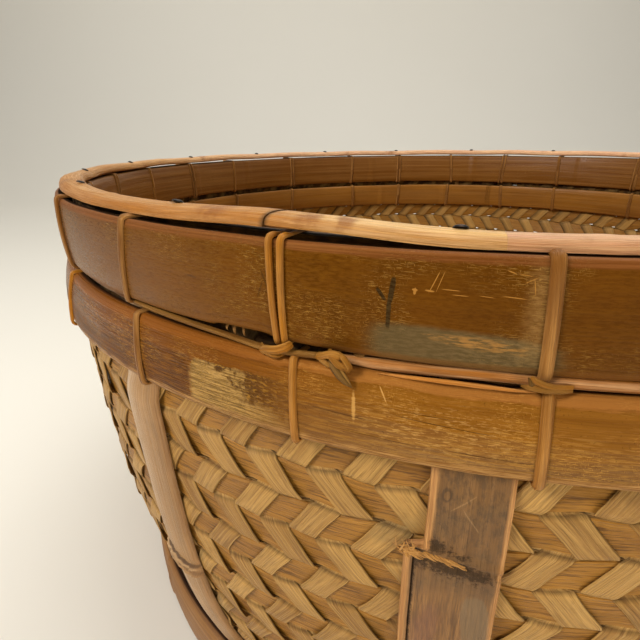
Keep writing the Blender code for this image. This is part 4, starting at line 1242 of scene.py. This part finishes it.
def stave(name, azimuth, other, drop, seed, settings, nodes, slant, age, crown, split, breadth, crease):
    """A split with its crowned skin, chamfered edges and the ridges of its nodes."""
    path, facing = stave_path(azimuth, other, drop, nodes)
    count = even(len(path))
    places, index = np.linspace(0, len(path) - 1, count), np.arange(len(path))
    path, facing = (np.stack([np.interp(places, index, column) for column in line.T], axis=-1)
                    for line in (path, facing))
    along = lengths(path)
    from_top = np.minimum(along, along[-1] - along)[:, None] + 0.0020
    half = STAVE_WIDTH / 2
    section = np.array(STAVE_FACE + STAVE_BACK) * [half, STAVE_THICK]
    corners = len(section)
    sections = each_station(section, count)
    skin = np.arange(corners) < len(STAVE_FACE)
    # A narrower split keeps its full width under the hoops
    full = 1 - (1 - breadth) * smooth(0.0420, 0.0500, from_top)
    sections[..., 0] *= full * (1 + 0.03 * drift(along, seed, 0.16))[:, None]
    t = section[:, 0] / half
    clear = smooth(0.0503, 0.0560, from_top)
    rise = (0.0001 * drift(along, seed + 5, 0.05)[:, None] + crown * (1 - t ** 2) * clear
            - 0.45 * crown * t ** 6 * clear)
    dirt = np.zeros((count, corners))
    # The first one's crease is above its node and gets no painted shade; the others get painted shade in the crease
    # below their node
    ridge, crease_shade = (1.7, 0.0) if crease < 0 else (1.0, 0.9)
    for node in nodes:
        away = from_top - node - slant * t
        below = away * crease
        rise = rise + settings.node_rise * ridge * bell(away, 0.0010) - 0.0006 * bell(below - 0.0023, 0.0011)
        dirt = np.maximum(dirt, crease_shade * bell(below - 0.0018, 0.0008) * (1 - 0.75 * split * smooth(0.1, 0.5, t)))
    if split:
        # Below its node this one has sprung open: its left edge stands off as a strip of its own
        first_leg = (1 - smooth(0.20, 0.21, along))[:, None]
        away = from_top - nodes[0] - slant * t
        below = smooth(0.0002, 0.0014, away) * first_leg
        sections[..., 0] -= 0.0048 * below * np.array([1.0] * 5 + [0.86, 0.55, 0.22] + [0.0] * (corners - 9) + [1.0])
        rise = rise - below * np.array([0.0007, 0.0007, 0.0007, 0.0016, 0.0012, 0.0002] + [0.0] * (corners - 6))
        # Painted shade in the gap where the strip stands off, and round the node's left end
        dirt[:, 3:5] = np.maximum(dirt[:, 3:5], [1.0, 0.8] * below[:, 3:5])
        shade_near_node = np.maximum(0.95 * bell(away + 0.0020, 0.0020) * (1 - smooth(-0.75, -0.10, t)),
                           0.8 * bell(away + 0.0011, 0.0007) * (1 - smooth(0.0, 0.6, t)))
        dirt = np.maximum(dirt, shade_near_node * first_leg * (t > -0.95))
        cut_off = smooth(0.0, 0.0006, away)
        mould = np.maximum(0.74 * bell(away - 0.0044, 0.0034) * cut_off * (1 - 0.6 * smooth(0.55, 0.9, t)),
                           1.2 * bell(away - 0.0044 - 0.0014 * t, 0.0020) * bell(t - 0.12, 0.46))
        dirt = np.maximum(dirt, mould * first_leg * (t > -0.73))
    sections[..., 1] = np.clip(sections[..., 1] + np.where(skin, rise, 0.0), 0.0, None)
    under = (from_top < 0.0503)[:, 0]
    sections[under, :, 1] = np.minimum(sections[under, :, 1], STAVE_THICK)
    return sweep(name, path, facing, sections, around=girth(section, -half), tone=0.01 * (seed % 100), age=age,
                 dirt=dirt)


def frayed_fibres():
    """Loose fibres at the sprung node, and the tuft at its left-hand end."""
    rng = np.random.default_rng(77)
    steps = np.linspace(0, 1, 5)
    fibres = []
    for i in range(84):
        tuft = i >= 56
        start = rng.uniform(-108.9, -107.5) if tuft else rng.uniform(-108.3, -105.3)
        depth = 0.0772 + 0.0021 * smooth(-107.5, -103.6, start) + rng.uniform(-0.0005, 0.0006) * (2.2 if tuft else 1)
        long = rng.uniform(1.2, 4.4) / 1000
        slope = rng.uniform(-2.4, 1.2) if tuft else rng.uniform(-0.10, 0.34)
        azimuth = start + np.degrees(long * math.cos(slope) / 0.2265) * steps
        down = depth + (0.0 if tuft else 0.0020) * steps * long / 0.003 * 0.4 + long * math.sin(slope) * steps
        curl = np.sin(steps * rng.uniform(1.5, 3.0)) * rng.uniform(0.2, 1.3)
        path = on_wall(azimuth, down, 0.0034 + 0.0006 * curl + (0.0003 if tuft else 0.0))
        taper = np.array([1.0, 0.95, 0.8, 0.55, 0.15])[:, None, None] * rng.uniform(0.7, 1.4)
        fibres.append(sweep("frayed_node", path, path * [1, 1, 0], flat_splint(0.00021, 0.0002, 0.00005) * taper,
                            tone=rng.uniform(-0.6, 1)))
    return fibres


class BASKET_OT_staves(bpy.types.Operator):
    """Split and bend the six long staves, which cross under the base"""
    bl_idname = "basket.staves"
    bl_label = "Staves"

    def execute(self, context):
        settings = context.scene.basket_staves
        material = stave_finish(settings)
        # Nodes from the top, their slant across the split, age, crown, whether it has sprung open, its
        # breadth, and whether the crease is below (1) or above (-1) the node
        seen = {1: ([0.1348, 0.1388], 0.0034, 0.06, 0.0016, False, 0.86, -1),
                2: ([0.0782], 0.0020, 1.0, 0.0001, True, 1.0, 1)}
        for number in range(1, 7):
            level, side = (number - 1) // 3, (number - 1) % 3 - 1
            course, turn = FIRST_STAVE + 90 * level, side * STAVE_ANGLE
            rng = np.random.default_rng(400 + number)
            node, slant, age, crown, breadth = (float(rng.uniform(*limits)) for limits in (
                (0.075, 0.165), (-0.003, 0.003), (0.15, 0.75), (0.0002, 0.0010), (0.9, 1.0)))
            shape = seen.get(number, ([node], slant, age, crown, False, breadth, 1))
            name = f"stave_{number}"
            part = stave(name, course + turn, course + 180 - turn, level * (STAVE_THICK + GAP), 500 + 17 * number,
                         settings, *shape)
            piece(name, [part], material, "stave_bamboo", f"long_stave_{number}", angle=42.0)
        material = cane_finish("frayed_fibre", "#c48d48", "#9a672e", "#e6bd80")
        piece("frayed_node", frayed_fibres(), material, "stave_bamboo", angle=WOVEN_ANGLE)
        return {"FINISHED"}


def rim_front(azimuth):
    """1 over the stretch of the rim cane whose height is read from the photograph."""
    turned = around_turn(azimuth)
    return smooth(-150, -138, turned) * (1 - smooth(-98, -85, turned))


def rim_height(azimuth):
    """The rim cane is held down at its nails and bows up between them; its front is read from the photograph."""
    azimuth = around_turn(azimuth)
    bow = (0.00026 * (1 - np.cos(NAIL_COUNT * np.radians(azimuth - NAIL_FIRST)))
           + 0.00018 * (1 + ring_drift(azimuth, 83, 5)))
    lift = 0.00025 + (0.0008 + 0.0009 * smooth(-128, -117, azimuth)) * (1 - smooth(-116, -106, azimuth))
    return bow + (lift + HOOP_TOP - RIM_BOTTOM - bow) * rim_front(azimuth)


def rim_thickness(azimuth):
    """How thick the rim cane is for its usual thickness: its splice is thinner."""
    thin = smooth(-118.2, -117.3, azimuth) * (1 - smooth(-90, -75, azimuth))
    return 0.97 - 0.05 * rim_front(azimuth) - (0.15 + 0.07 * smooth(-108, -104, azimuth)) * thin


RIM_SECTION = np.array([(-1.0, 0.05), (-0.98, 0.34), (-0.88, 0.66), (-0.66, 0.88), (-0.34, 0.98), (0.0, 1.0),
                        (0.34, 0.98), (0.66, 0.88), (0.88, 0.66), (0.98, 0.34), (1.0, 0.05), (0.85, -0.02),
                        (0.0, -0.04), (-0.85, -0.02)])


class BASKET_OT_rim(bpy.types.Operator):
    """Lay the half-round cane over the mouth, in its long length and its splice"""
    bl_idname = "basket.rim"
    bl_label = "Rim cane"

    def execute(self, context):
        material = rim_finish(context.scene.basket_canes)
        section = RIM_SECTION * [RIM_HALF, RIM_RISE]
        for name, first, last, count, node in (("rim_splice_cane", SPLICE_START + SCARF_GAP,
                                                SPLICE_END - SCARF_GAP / 10, 81, "rim_splice"),
                                               ("rim_long_cane", SPLICE_END + SCARF_GAP / 10,
                                                SPLICE_START + 360 - SCARF_GAP, 901, "rim_cane")):
            azimuth = np.linspace(first, last, even(count))[:, None]
            # The scarf slants across the cane, and the splice rides up on the long cane's end
            if node == "rim_splice":
                to_scarf, tone = azimuth - first, 0.0
                ride = 0.0003 * (1 - smooth(0, 2.2, to_scarf))
            else:
                to_scarf, tone = last - azimuth, 1 - smooth(100, 200, azimuth)
                ride = -0.0002 * (1 - smooth(0, 2, to_scarf))
            slant = -0.40 * RIM_SECTION[:, 0] * (1 - smooth(0, 4, to_scarf))
            size = 1 + 0.04 * drift(azimuth, 87, 31)
            for knuckle in np.arange(-130, 230, 27.0) + 4 * np.sin(np.arange(14)):
                size = size + 0.035 * bell(azimuth - knuckle, 0.6) - 0.02 * bell(azimuth - knuckle - 1.0, 0.5)
            r = RIM_RADIUS + 0.0003 * ring_drift(azimuth, 85, 6) + section[:, 0] * size
            # Its flat side rests on the hoops
            lift = rim_height(azimuth)
            underside = np.maximum(lift - 0.0006, -0.0003)
            underside = underside + (lift - 0.0001 - underside) * rim_front(azimuth)
            top = lift + section[:, 1] * size * rim_thickness(azimuth) + ride
            place = ring_points(r, azimuth + slant, RIM_BOTTOM + np.where(section[:, 1] < 0, underside, top))
            part = strip(name, place, girth(section, -RIM_HALF), arc(azimuth[:, 0]), tone,
                         dirt=0.85 * bell(to_scarf, 0.16))
            piece(name, [part], material, "rim_cane", node)
        return {"FINISHED"}


class BASKET_OT_nails(bpy.types.Operator):
    """Forge one domed nail head and set it round the rim cane"""
    bl_idname = "basket.nails"
    bl_label = "Rim nails"

    def execute(self, context):
        material = iron_finish(context.scene.basket_canes)
        bpy.ops.object.select_all(action="DESELECT")
        bpy.ops.mesh.primitive_uv_sphere_add(segments=16, ring_count=8, radius=0.0018)
        first = bpy.context.object
        bpy.ops.object.mode_set(mode="EDIT")
        bpy.ops.mesh.select_all(action="SELECT")
        bpy.ops.mesh.bisect(plane_co=(0, 0, 0), plane_no=(0, 0, 1), clear_inner=True, use_fill=True)
        bpy.ops.mesh.select_all(action="SELECT")
        bpy.ops.transform.resize(value=(0.92, 0.92, 0.38), center_override=(0, 0, 0))
        bpy.ops.object.mode_set(mode="OBJECT")
        first.data.uv_layers[0].name = "strip"
        rng = np.random.default_rng(19)
        for i in range(NAIL_COUNT):
            name = f"nail_{i + 1:02d}"
            azimuth = NAIL_FIRST + i * 360 / NAIL_COUNT
            head = bpy.data.objects.new(name, first.data.copy())
            bpy.context.collection.objects.link(head)
            lean = Matrix.Rotation(math.radians(-16 + float(rng.uniform(-4, 4))), 4, "Y")
            z = RIM_BOTTOM + float(rim_height(azimuth) + RIM_RISE * rim_thickness(azimuth)) + 0.0002
            turn = Matrix.Rotation(math.radians(azimuth), 4, "Z")
            place = turn @ Matrix.Translation((RIM_RADIUS - 0.0013, 0, z)) @ lean
            squeeze = Matrix.Diagonal((float(rng.uniform(0.9, 1.08)), float(rng.uniform(0.9, 1.08)), 1.0, 1.0))
            head.data.transform(place @ squeeze)
            piece(name, [head], material, "nail_iron", f"rim_{name}", angle=40.0)
        bpy.data.objects.remove(first)
        return {"FINISHED"}


def lashing_loop(upper, high_azimuth, low_azimuth, width, tone):
    """One turn of cane round a pair of hoops, down their face and back up inside: its width is in millimetres."""
    low, high, thick, crown = ((UPPER_BOTTOM, HOOP_TOP, 0.0030, 0.0008) if upper
                               else (LOWER_BOTTOM, LOWER_TOP, 0.0036, 0.0010))
    parts = np.array([0.985, 0.86, 0.68, 0.5, 0.32, 0.14, 0.015])
    z = low + (high - low) * parts
    swell = 1 - (2 * parts - 1) ** 2
    outer = wall_radius(z) + SEAT + thick + crown * swell + 0.0001
    inner = wall_radius(z) + INNER_SEAT - INNER_THICK - INNER_CROWN * swell - 0.0001
    over, under = high + 0.00012, low - 0.00042
    down, up = list(zip(outer, z)), list(zip(inner, z))[::-1]
    below = [(outer[-1] - 0.0006, under), (outer[-1] - 0.0025, under), (inner[-1] + 0.0025, under),
             (inner[-1] + 0.0006, under)]
    above = [(inner[0] + 0.0006, over), (inner[0] + 0.0025, over), (outer[0] - 0.0025, over),
             (outer[0] - 0.0006, over)]
    # It starts and ends inside, half way up
    points = np.array(up[3:] + above + down + below + up[:4])
    # Chaikin's corner cutting, once, keeps the turn tight on the hoops
    cut = np.stack([points[:-1] * 0.75 + points[1:] * 0.25, points[:-1] * 0.25 + points[1:] * 0.75],
                   axis=1).reshape(-1, 2)
    r, z = np.vstack([points[:1], cut, points[-1:]]).T
    part = np.clip((z - low) / (high - low), 0, 1)
    path = ring_points(r, low_azimuth + (high_azimuth - low_azimuth) * part, z)
    sections = each_station(half_round(width / 2000, 0.0012), len(path))
    sections[..., 1] *= np.where(r > wall_radius(z) + SEAT, 1.0, 0.62)[:, None]
    # The turns inside the basket are darker: painted shade
    tones = np.where(r > wall_radius(z), tone, tone - 1.3)
    return sweep("lashing", path, path - path.mean(axis=0), sections, start=0.1 * (high_azimuth % 90), tone=tones)


def catmull(values, where):
    """A smooth curve through evenly spaced values."""
    padded = np.concatenate([[2 * values[0] - values[1]], values, [2 * values[-1] - values[-2]]])
    cell = np.minimum(np.floor(where).astype(int), len(values) - 2)
    t = where - cell
    a, b, c, d = (padded[cell + k] for k in range(4))
    return 0.5 * (2 * b + (c - a) * t + (2 * a - 5 * b + 4 * c - d) * t ** 2 + (3 * b - a - 3 * c + d) * t ** 3)


def cane_path(name, points, half, thick, tone, taper=(1, 1), cuts=6):
    """A cane over points (azimuth, depth, off): degrees, then millimetres below the rim and off the wall."""
    points = np.array(points, float)
    fine = np.linspace(0, len(points) - 1, (len(points) - 1) * cuts + 1)
    azimuth, depth, off = (catmull(column, fine) for column in points.T)
    path = on_wall(azimuth, depth / 1000, off / 1000)
    sections = each_station(half_round(half / 1000, thick / 1000), len(path))
    sections *= np.interp(fine, np.linspace(0, len(points) - 1, len(taper)), taper)[:, None, None]
    return sweep(name, path, path * [1, 1, 0], sections, start=10 + 0.1 * points[0][0], tone=tone)


class BASKET_OT_lashings(bpy.types.Operator):
    """Wind the lashings round the hoops, one turn at each stave and two midway"""
    bl_idname = "basket.lashings"
    bl_label = "Lashings"

    def execute(self, context):
        settings = context.scene.basket_canes
        material = cane_finish("lashing_cane", settings.lashing_colour, settings.lashing_dark, "#d29a55")
        # The three in view: turns of (upper?, azimuth at its top, at its foot, width in mm, tone)
        seen = {
            1: [(True, -130.5, -131.8, 2.5, -0.7), (False, -130.5, -129.6, 2.6, -0.6)],
            2: [(True, -117.15, -116.95, 1.8, 0.5), (True, -116.38, -116.42, 1.8, 0.8),
                (False, -115.8, -115.4, 2.1, 0.7)],
            3: [(True, -102.25, -101.9, 2.9, -0.45), (False, -101.6, -101.5, 2.6, -0.1)],
        }
        for number in range(1, 25):
            rng = np.random.default_rng(600 + number)
            node = f"lashing_{number:02d}"
            low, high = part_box(node)
            centre = (low + high) / 2
            azimuth = math.degrees(math.atan2(centre.y, centre.x))
            turns = seen.get(number, [])
            for upper in (True, False) if number not in seen else ():
                slant, shift = rng.uniform(-0.5, 0.5), rng.uniform(-0.3, 0.3)
                tone = rng.uniform(-0.6, 0.9)
                # Midway between two staves the upper pair has two narrow turns
                places = ((-0.36, 1.8), (0.36, 1.8)) if number % 2 == 0 and upper else ((0.0, rng.uniform(2.4, 2.9)),)
                for side, width in places:
                    top = azimuth + side + shift
                    turns.append((upper, top, top - slant, width, tone))
            piece(f"lashing_turns_{number:02d}", [lashing_loop(*turn) for turn in turns], material, "lashing_cane",
                  node)
        return {"FINISHED"}


# Canes of the knots: points, half width, thickness, tone and taper
KNOTS = (
    # The flat turn that crosses the binder under the double lashing
    ([(-118.25, 29.9, 5.6), (-118.0, 29.6, 6.8), (-117.4, 28.5, 7.9), (-116.7, 27.2, 8.3), (-116.15, 26.2, 8.0),
      (-115.95, 25.7, 6.8)], 1.15, 0.9, 0.6, (0.85, 1, 1, 1, 1, 0.8)),
    ([(-118.2, 28.2, 6.0), (-117.9, 28.9, 7.0), (-117.45, 29.8, 7.6), (-116.9, 30.1, 7.4), (-116.5, 29.6, 6.4)],
     0.75, 0.9, 0.0, (0.7, 1, 1, 1, 0.5)),
    # The binder's knot, its turns and its pointed tail
    ([(-114.3, 28.5, 5.6), (-113.96, 27.2, 7.2), (-113.46, 25.9, 8.4), (-113.0, 25.1, 9.0), (-112.7, 25.3, 8.8),
      (-112.5, 26.2, 7.8)], 0.95, 1.3, 0.9, (0.7, 1, 1, 1, 1, 0.7)),
    ([(-113.3, 25.2, 7.4), (-113.1, 25.6, 8.8), (-112.83, 26.3, 9.6), (-112.52, 27.6, 9.6), (-112.27, 28.9, 8.8),
      (-112.2, 30.0, 7.6)], 0.85, 1.2, 1.0, (0.6, 1, 1, 1, 1, 0.8)),
    ([(-112.75, 25.0, 8.2), (-112.35, 25.7, 9.0), (-112.1, 27.3, 9.0), (-112.12, 29.2, 8.2), (-112.4, 30.3, 7.6),
      (-112.75, 30.2, 7.2)], 0.8, 1.2, 0.8, (0.6, 1, 1, 1, 0.9, 0.5)),
    ([(-114.1, 27.0, 6.4), (-113.8, 27.9, 7.8), (-113.4, 28.9, 8.4), (-113.0, 29.8, 8.0)], 0.9, 1.0, 0.2,
     (0.8, 1, 1, 0.7)),
    ([(-113.8, 27.3, 7.0), (-113.3, 27.9, 8.2), (-112.9, 29.2, 8.8), (-112.5, 31.1, 9.2), (-112.12, 32.9, 9.0),
      (-111.85, 34.1, 8.6)], 1.35, 0.8, -0.95, (0.6, 0.95, 1.1, 1.0, 0.66, 0.06)),
    # The turn round the binder beside the third lashing, with its lifted end: its pieces on top are lighter and those
    # beneath darker, as painted light and shade
    ([(-102.72, 24.4, 9.2), (-102.5, 25.3, 9.0), (-102.2, 26.0, 8.8), (-101.8, 26.7, 8.4), (-101.2, 27.4, 7.6),
      (-100.5, 27.9, 6.4)], 0.72, 0.7, 0.9, (0.5, 0.9, 1, 1, 1, 0.7)),
    ([(-103.0, 28.3, 7.2), (-102.76, 27.8, 8.0), (-102.4, 27.7, 8.4), (-101.9, 28.1, 8.4), (-101.1, 28.8, 7.4),
      (-100.5, 29.2, 6.2)], 0.72, 0.8, 0.1, (0.35, 0.8, 1, 1, 1, 0.6)),
    ([(-102.72, 25.0, 8.4), (-102.62, 26.2, 8.2), (-102.55, 27.4, 7.8), (-102.5, 28.4, 7.0)], 0.55, 0.8, -0.8,
     (0.8, 1, 1, 0.7)),
)
THIN_BINDER = [(-133.0, 26.8, 4.2), (-130.8, 27.0, 4.4), (-128.0, 27.2, 4.6), (-124.0, 27.6, 5.0),
               (-121.3, 28.1, 5.3), (-119.8, 28.6, 5.6), (-118.3, 29.0, 6.0), (-116.9, 29.0, 6.2),
               (-115.4, 28.5, 6.2), (-113.9, 27.7, 6.2),
               (-113.0, 27.6, 5.6)]
SLIVER = [(-110.6, 30.2, 6.5), (-109.2, 30.0, 6.7), (-107.6, 29.7, 7.1), (-106.2, 29.5, 7.4), (-104.8, 29.7, 7.2),
          (-103.4, 29.9, 7.0), (-102.2, 30.2, 6.6)]
# Torn tips: azimuth, depth, length, half width and lean
TORN_TIPS = ((-121.35, 25.8, 1.3, 0.55, 0.10), (-120.8, 26.3, 1.9, 0.6, 0.22), (-120.0, 26.2, 1.6, 0.5, 0.2),
             (-111.85, 26.2, 2.0, 1.6, 0.12))


def thick_binder():
    """The thick cane in the groove: it runs right round from the knot, and tapers away behind the first lashing."""
    azimuth = np.linspace(KNOT_AZIMUTH, -133.3 + 360, 601)
    depth = (0.0286 - 0.0010 * smooth(-112, -104, azimuth)
             + 0.00035 * ring_drift(azimuth, 131, 9) * smooth(-104, -90, azimuth))
    off = 0.0040 + 0.0003 * ring_drift(azimuth, 133, 11) - 0.0024 * smooth(196, 212, azimuth)
    path = on_wall(azimuth, depth, off)
    size = 1 + 0.06 * ring_drift(azimuth, 135, 13) - 0.35 * (1 - smooth(0, 3, azimuth - KNOT_AZIMUTH))
    # Darker where it sinks into the groove behind the first lashing: painted shade
    tone = 0.1 + 0.4 * ring_drift(azimuth, 137, 5) - 1.2 * smooth(190, 210, azimuth)
    sections = each_station(half_round(0.00150, 0.0024), 601) * size[:, None, None]
    # Paler on its upper side and darker on its lower side: painted light and shade
    return sweep("binder_thick", path, path * [1, 1, 0], sections,
                 tone=tone[:, None] + 0.9 * half_round(1.0, 1.0)[:, 0])


def torn_tips():
    """Torn ends of splint that stand out from under the hoops."""
    return [cane_path("torn_tips", [(start, depth - 1.2, 3.4), (start + lean / 3, depth, 4.2),
                                    (start + lean, depth + long / 2, 4.8), (start + lean * 1.5, depth + long, 4.6)],
                      half, 0.4, 0.3, (1.1, 1, 0.6, 0.06)) for start, depth, long, half, lean in TORN_TIPS]


class BASKET_OT_binder(bpy.types.Operator):
    """Lay the binder canes in the groove between the outer hoops, and tie their knots"""
    bl_idname = "basket.binder"
    bl_label = "Binder and knots"

    def execute(self, context):
        settings = context.scene.basket_canes
        for name, parts, slot, nodes, finish, colours in (
                ("binder_thin", [cane_path("binder_thin", THIN_BINDER, 0.85, 1.3, 0.2, cuts=10)], "lashing_cane",
                 ["binder_cane_thin"], "binder_thin_cane", ("#7d521c", "#54310f", "#b0803b")),
                ("binder_thick", [thick_binder()], "lashing_cane", ["binder_cane_thick"], "binder_thick_cane",
                 (settings.binder_colour, "#643a1a", "#e0b483")),
                ("knots", [cane_path("knots", *row) for row in KNOTS], "lashing_cane", ["binder_knot"], "knot_cane",
                 ("#a26318", "#473012", "#d99e4e")),
                ("torn_tips", torn_tips(), "splint", [], "torn_splint", ("#82582a", "#543310", "#a77b49")),
                ("split_sliver", [cane_path("split_sliver", SLIVER, 0.5, 0.5, 0.6, (0.2, 0.8, 1, 1.1, 1, 0.8, 0.2),
                                            cuts=8)],
                 "hoop_bamboo", [], "split_skin", ("#c47c30", "#8a4f1a", "#eeb06a"))):
            piece(name, parts, cane_finish(finish, *colours), slot, *nodes)
        return {"FINISHED"}


class BASKET_OT_stage(bpy.types.Operator):
    """Set the pale floor and backdrop, the soft lights and the camera"""
    bl_idname = "basket.stage"
    bl_label = "Stage"

    def execute(self, context):
        settings = context.scene.basket_stage
        bpy.ops.object.select_all(action="DESELECT")
        bpy.ops.mesh.primitive_grid_add(x_subdivisions=8, y_subdivisions=40, size=1.0)
        sheet = context.object
        sheet.name = "pale_sheet"
        # A sheet of card: flat under the basket, then curved up behind it
        width, depth, front, curve = 9.0, 7.5, -3.0, 1.6
        radius = curve / (math.pi / 2)
        for vert in sheet.data.vertices:
            run = (vert.co.y + 0.5) * depth + front
            bend = np.clip((run - curve) / curve, 0, 1) * math.pi / 2
            vert.co = (vert.co.x * width, min(run, curve) + radius * math.sin(bend),
                       radius * (1 - math.cos(bend)) + max(run - 2 * curve, 0.0))
        bpy.ops.object.shade_smooth()
        finish = Finish("pale_card")
        card = finish.mix(finish.cloud(0.7, 2.0), tuple(settings.floor_colour), "#e6e1d5")
        sheet.data.materials.append(finish.shader(Base_Color=card, Roughness=0.8))

        world = bpy.data.worlds.new("soft_surroundings")
        context.scene.world = world
        world.use_nodes = True
        surround = world.node_tree.nodes["Background"].inputs
        surround["Color"].default_value = settings.sky_colour
        # The room is bright behind and above the basket and dim in front of it
        bench = Bench(world.node_tree)
        _, ahead, up = bench.apart(bench.add("ShaderNodeTexCoord")[0])
        glow = ahead.fade(-0.6, 0.5, 0.13, 0.42) + up.fade(0.2, 0.9, 0.0, 0.12)
        bench.feed(surround["Strength"], glow | bench.add("ShaderNodeLightPath")[0] * 0.72)

        for name, energy, size, place, target, colour in (
                ("left_window", settings.key_power, (0.45, 0.45), (-1.19, -0.85, 1.25), (0, -0.05, 0.1),
                 (1.0, 0.99, 0.975)),
                ("overhead_softbox", settings.top_power, (1.3, 1.0), (0.25, 0.1, 1.5), (0, -0.05, 0.1),
                 (1.0, 0.985, 0.96)),
                ("front_fill", settings.fill_power, (0.9, 0.9), (0.60, -1.6, 0.40), (0, -0.1, 0.1),
                 (1.0, 0.98, 0.96)),
                ("backdrop_light", settings.backdrop_power, (4.0, 1.0), (0, 1.6, 2.4), (0, 3.0, 0.9), (1, 1, 1))):
            light = bpy.data.lights.new(name, "AREA")
            light.shape = "RECTANGLE"
            light.size, light.size_y = size
            light.energy, light.color = energy, colour
            lamp = bpy.data.objects.new(name, light)
            context.collection.objects.link(lamp)
            lamp.location = place
            lamp.rotation_euler = (Vector(target) - Vector(place)).to_track_quat("-Z", "Y").to_euler()
            # The fill leaves no shine of its own on the lacquer
            lamp.visible_glossy = name != "front_fill"

        camera = bpy.data.cameras.new("view")
        camera.lens, camera.sensor_width, camera.clip_start = 27.0, 36.0, 0.01
        eye = bpy.data.objects.new("view", camera)
        context.collection.objects.link(eye)
        pitch, roll = 0.36878, -0.00815
        ahead = Vector((0, math.cos(pitch), -math.sin(pitch)))
        right = Vector((1, 0, 0))
        up = right.cross(ahead)
        level_right = math.cos(roll) * right + math.sin(roll) * up
        level_up = -math.sin(roll) * right + math.cos(roll) * up
        axes = Matrix((level_right, level_up, -ahead)).transposed().to_4x4()
        eye.matrix_world = Matrix.Translation((-0.0925, -0.3088, 0.2515)) @ axes
        context.scene.camera = eye
        context.scene.view_settings.view_transform = "Standard"
        return {"FINISHED"}


OPERATORS = (BASKET_OT_weave_wall, BASKET_OT_weave_base, BASKET_OT_hoops, BASKET_OT_foot, BASKET_OT_staves,
             BASKET_OT_rim, BASKET_OT_nails, BASKET_OT_lashings, BASKET_OT_binder, BASKET_OT_stage)
SETTINGS = (("basket_weave", BASKET_PG_weave), ("basket_hoops", BASKET_PG_hoops), ("basket_canes", BASKET_PG_canes),
            ("basket_staves", BASKET_PG_staves), ("basket_stage", BASKET_PG_stage))


class BASKET_PT_pieces(bpy.types.Panel):
    """The basket's pieces, in the order in which they are made"""
    bl_idname = "BASKET_PT_pieces"
    bl_label = "Splint basket"
    bl_space_type = "VIEW_3D"
    bl_region_type = "UI"
    bl_category = "Basket"

    def draw(self, context):
        for operator in OPERATORS:
            self.layout.operator(operator.bl_idname)
        for label, group in SETTINGS:
            box = self.layout.box()
            for key in group.__annotations__:
                box.prop(getattr(context.scene, label), key)


def register():
    for label, group in SETTINGS:
        bpy.utils.register_class(group)
        setattr(bpy.types.Scene, label, bpy.props.PointerProperty(type=group))
    for item in (*OPERATORS, BASKET_PT_pieces):
        bpy.utils.register_class(item)


def unregister():
    for item in (BASKET_PT_pieces, *reversed(OPERATORS)):
        bpy.utils.unregister_class(item)
    for label, group in reversed(SETTINGS):
        delattr(bpy.types.Scene, label)
        bpy.utils.unregister_class(group)


def main():
    register()
    for operator in OPERATORS:
        area, name = operator.bl_idname.split(".")
        getattr(getattr(bpy.ops, area), name)()
    for mesh, *_ in STOCK.values():
        bpy.data.meshes.remove(mesh)
    STOCK.clear()


if __name__ == "__main__":
    main()
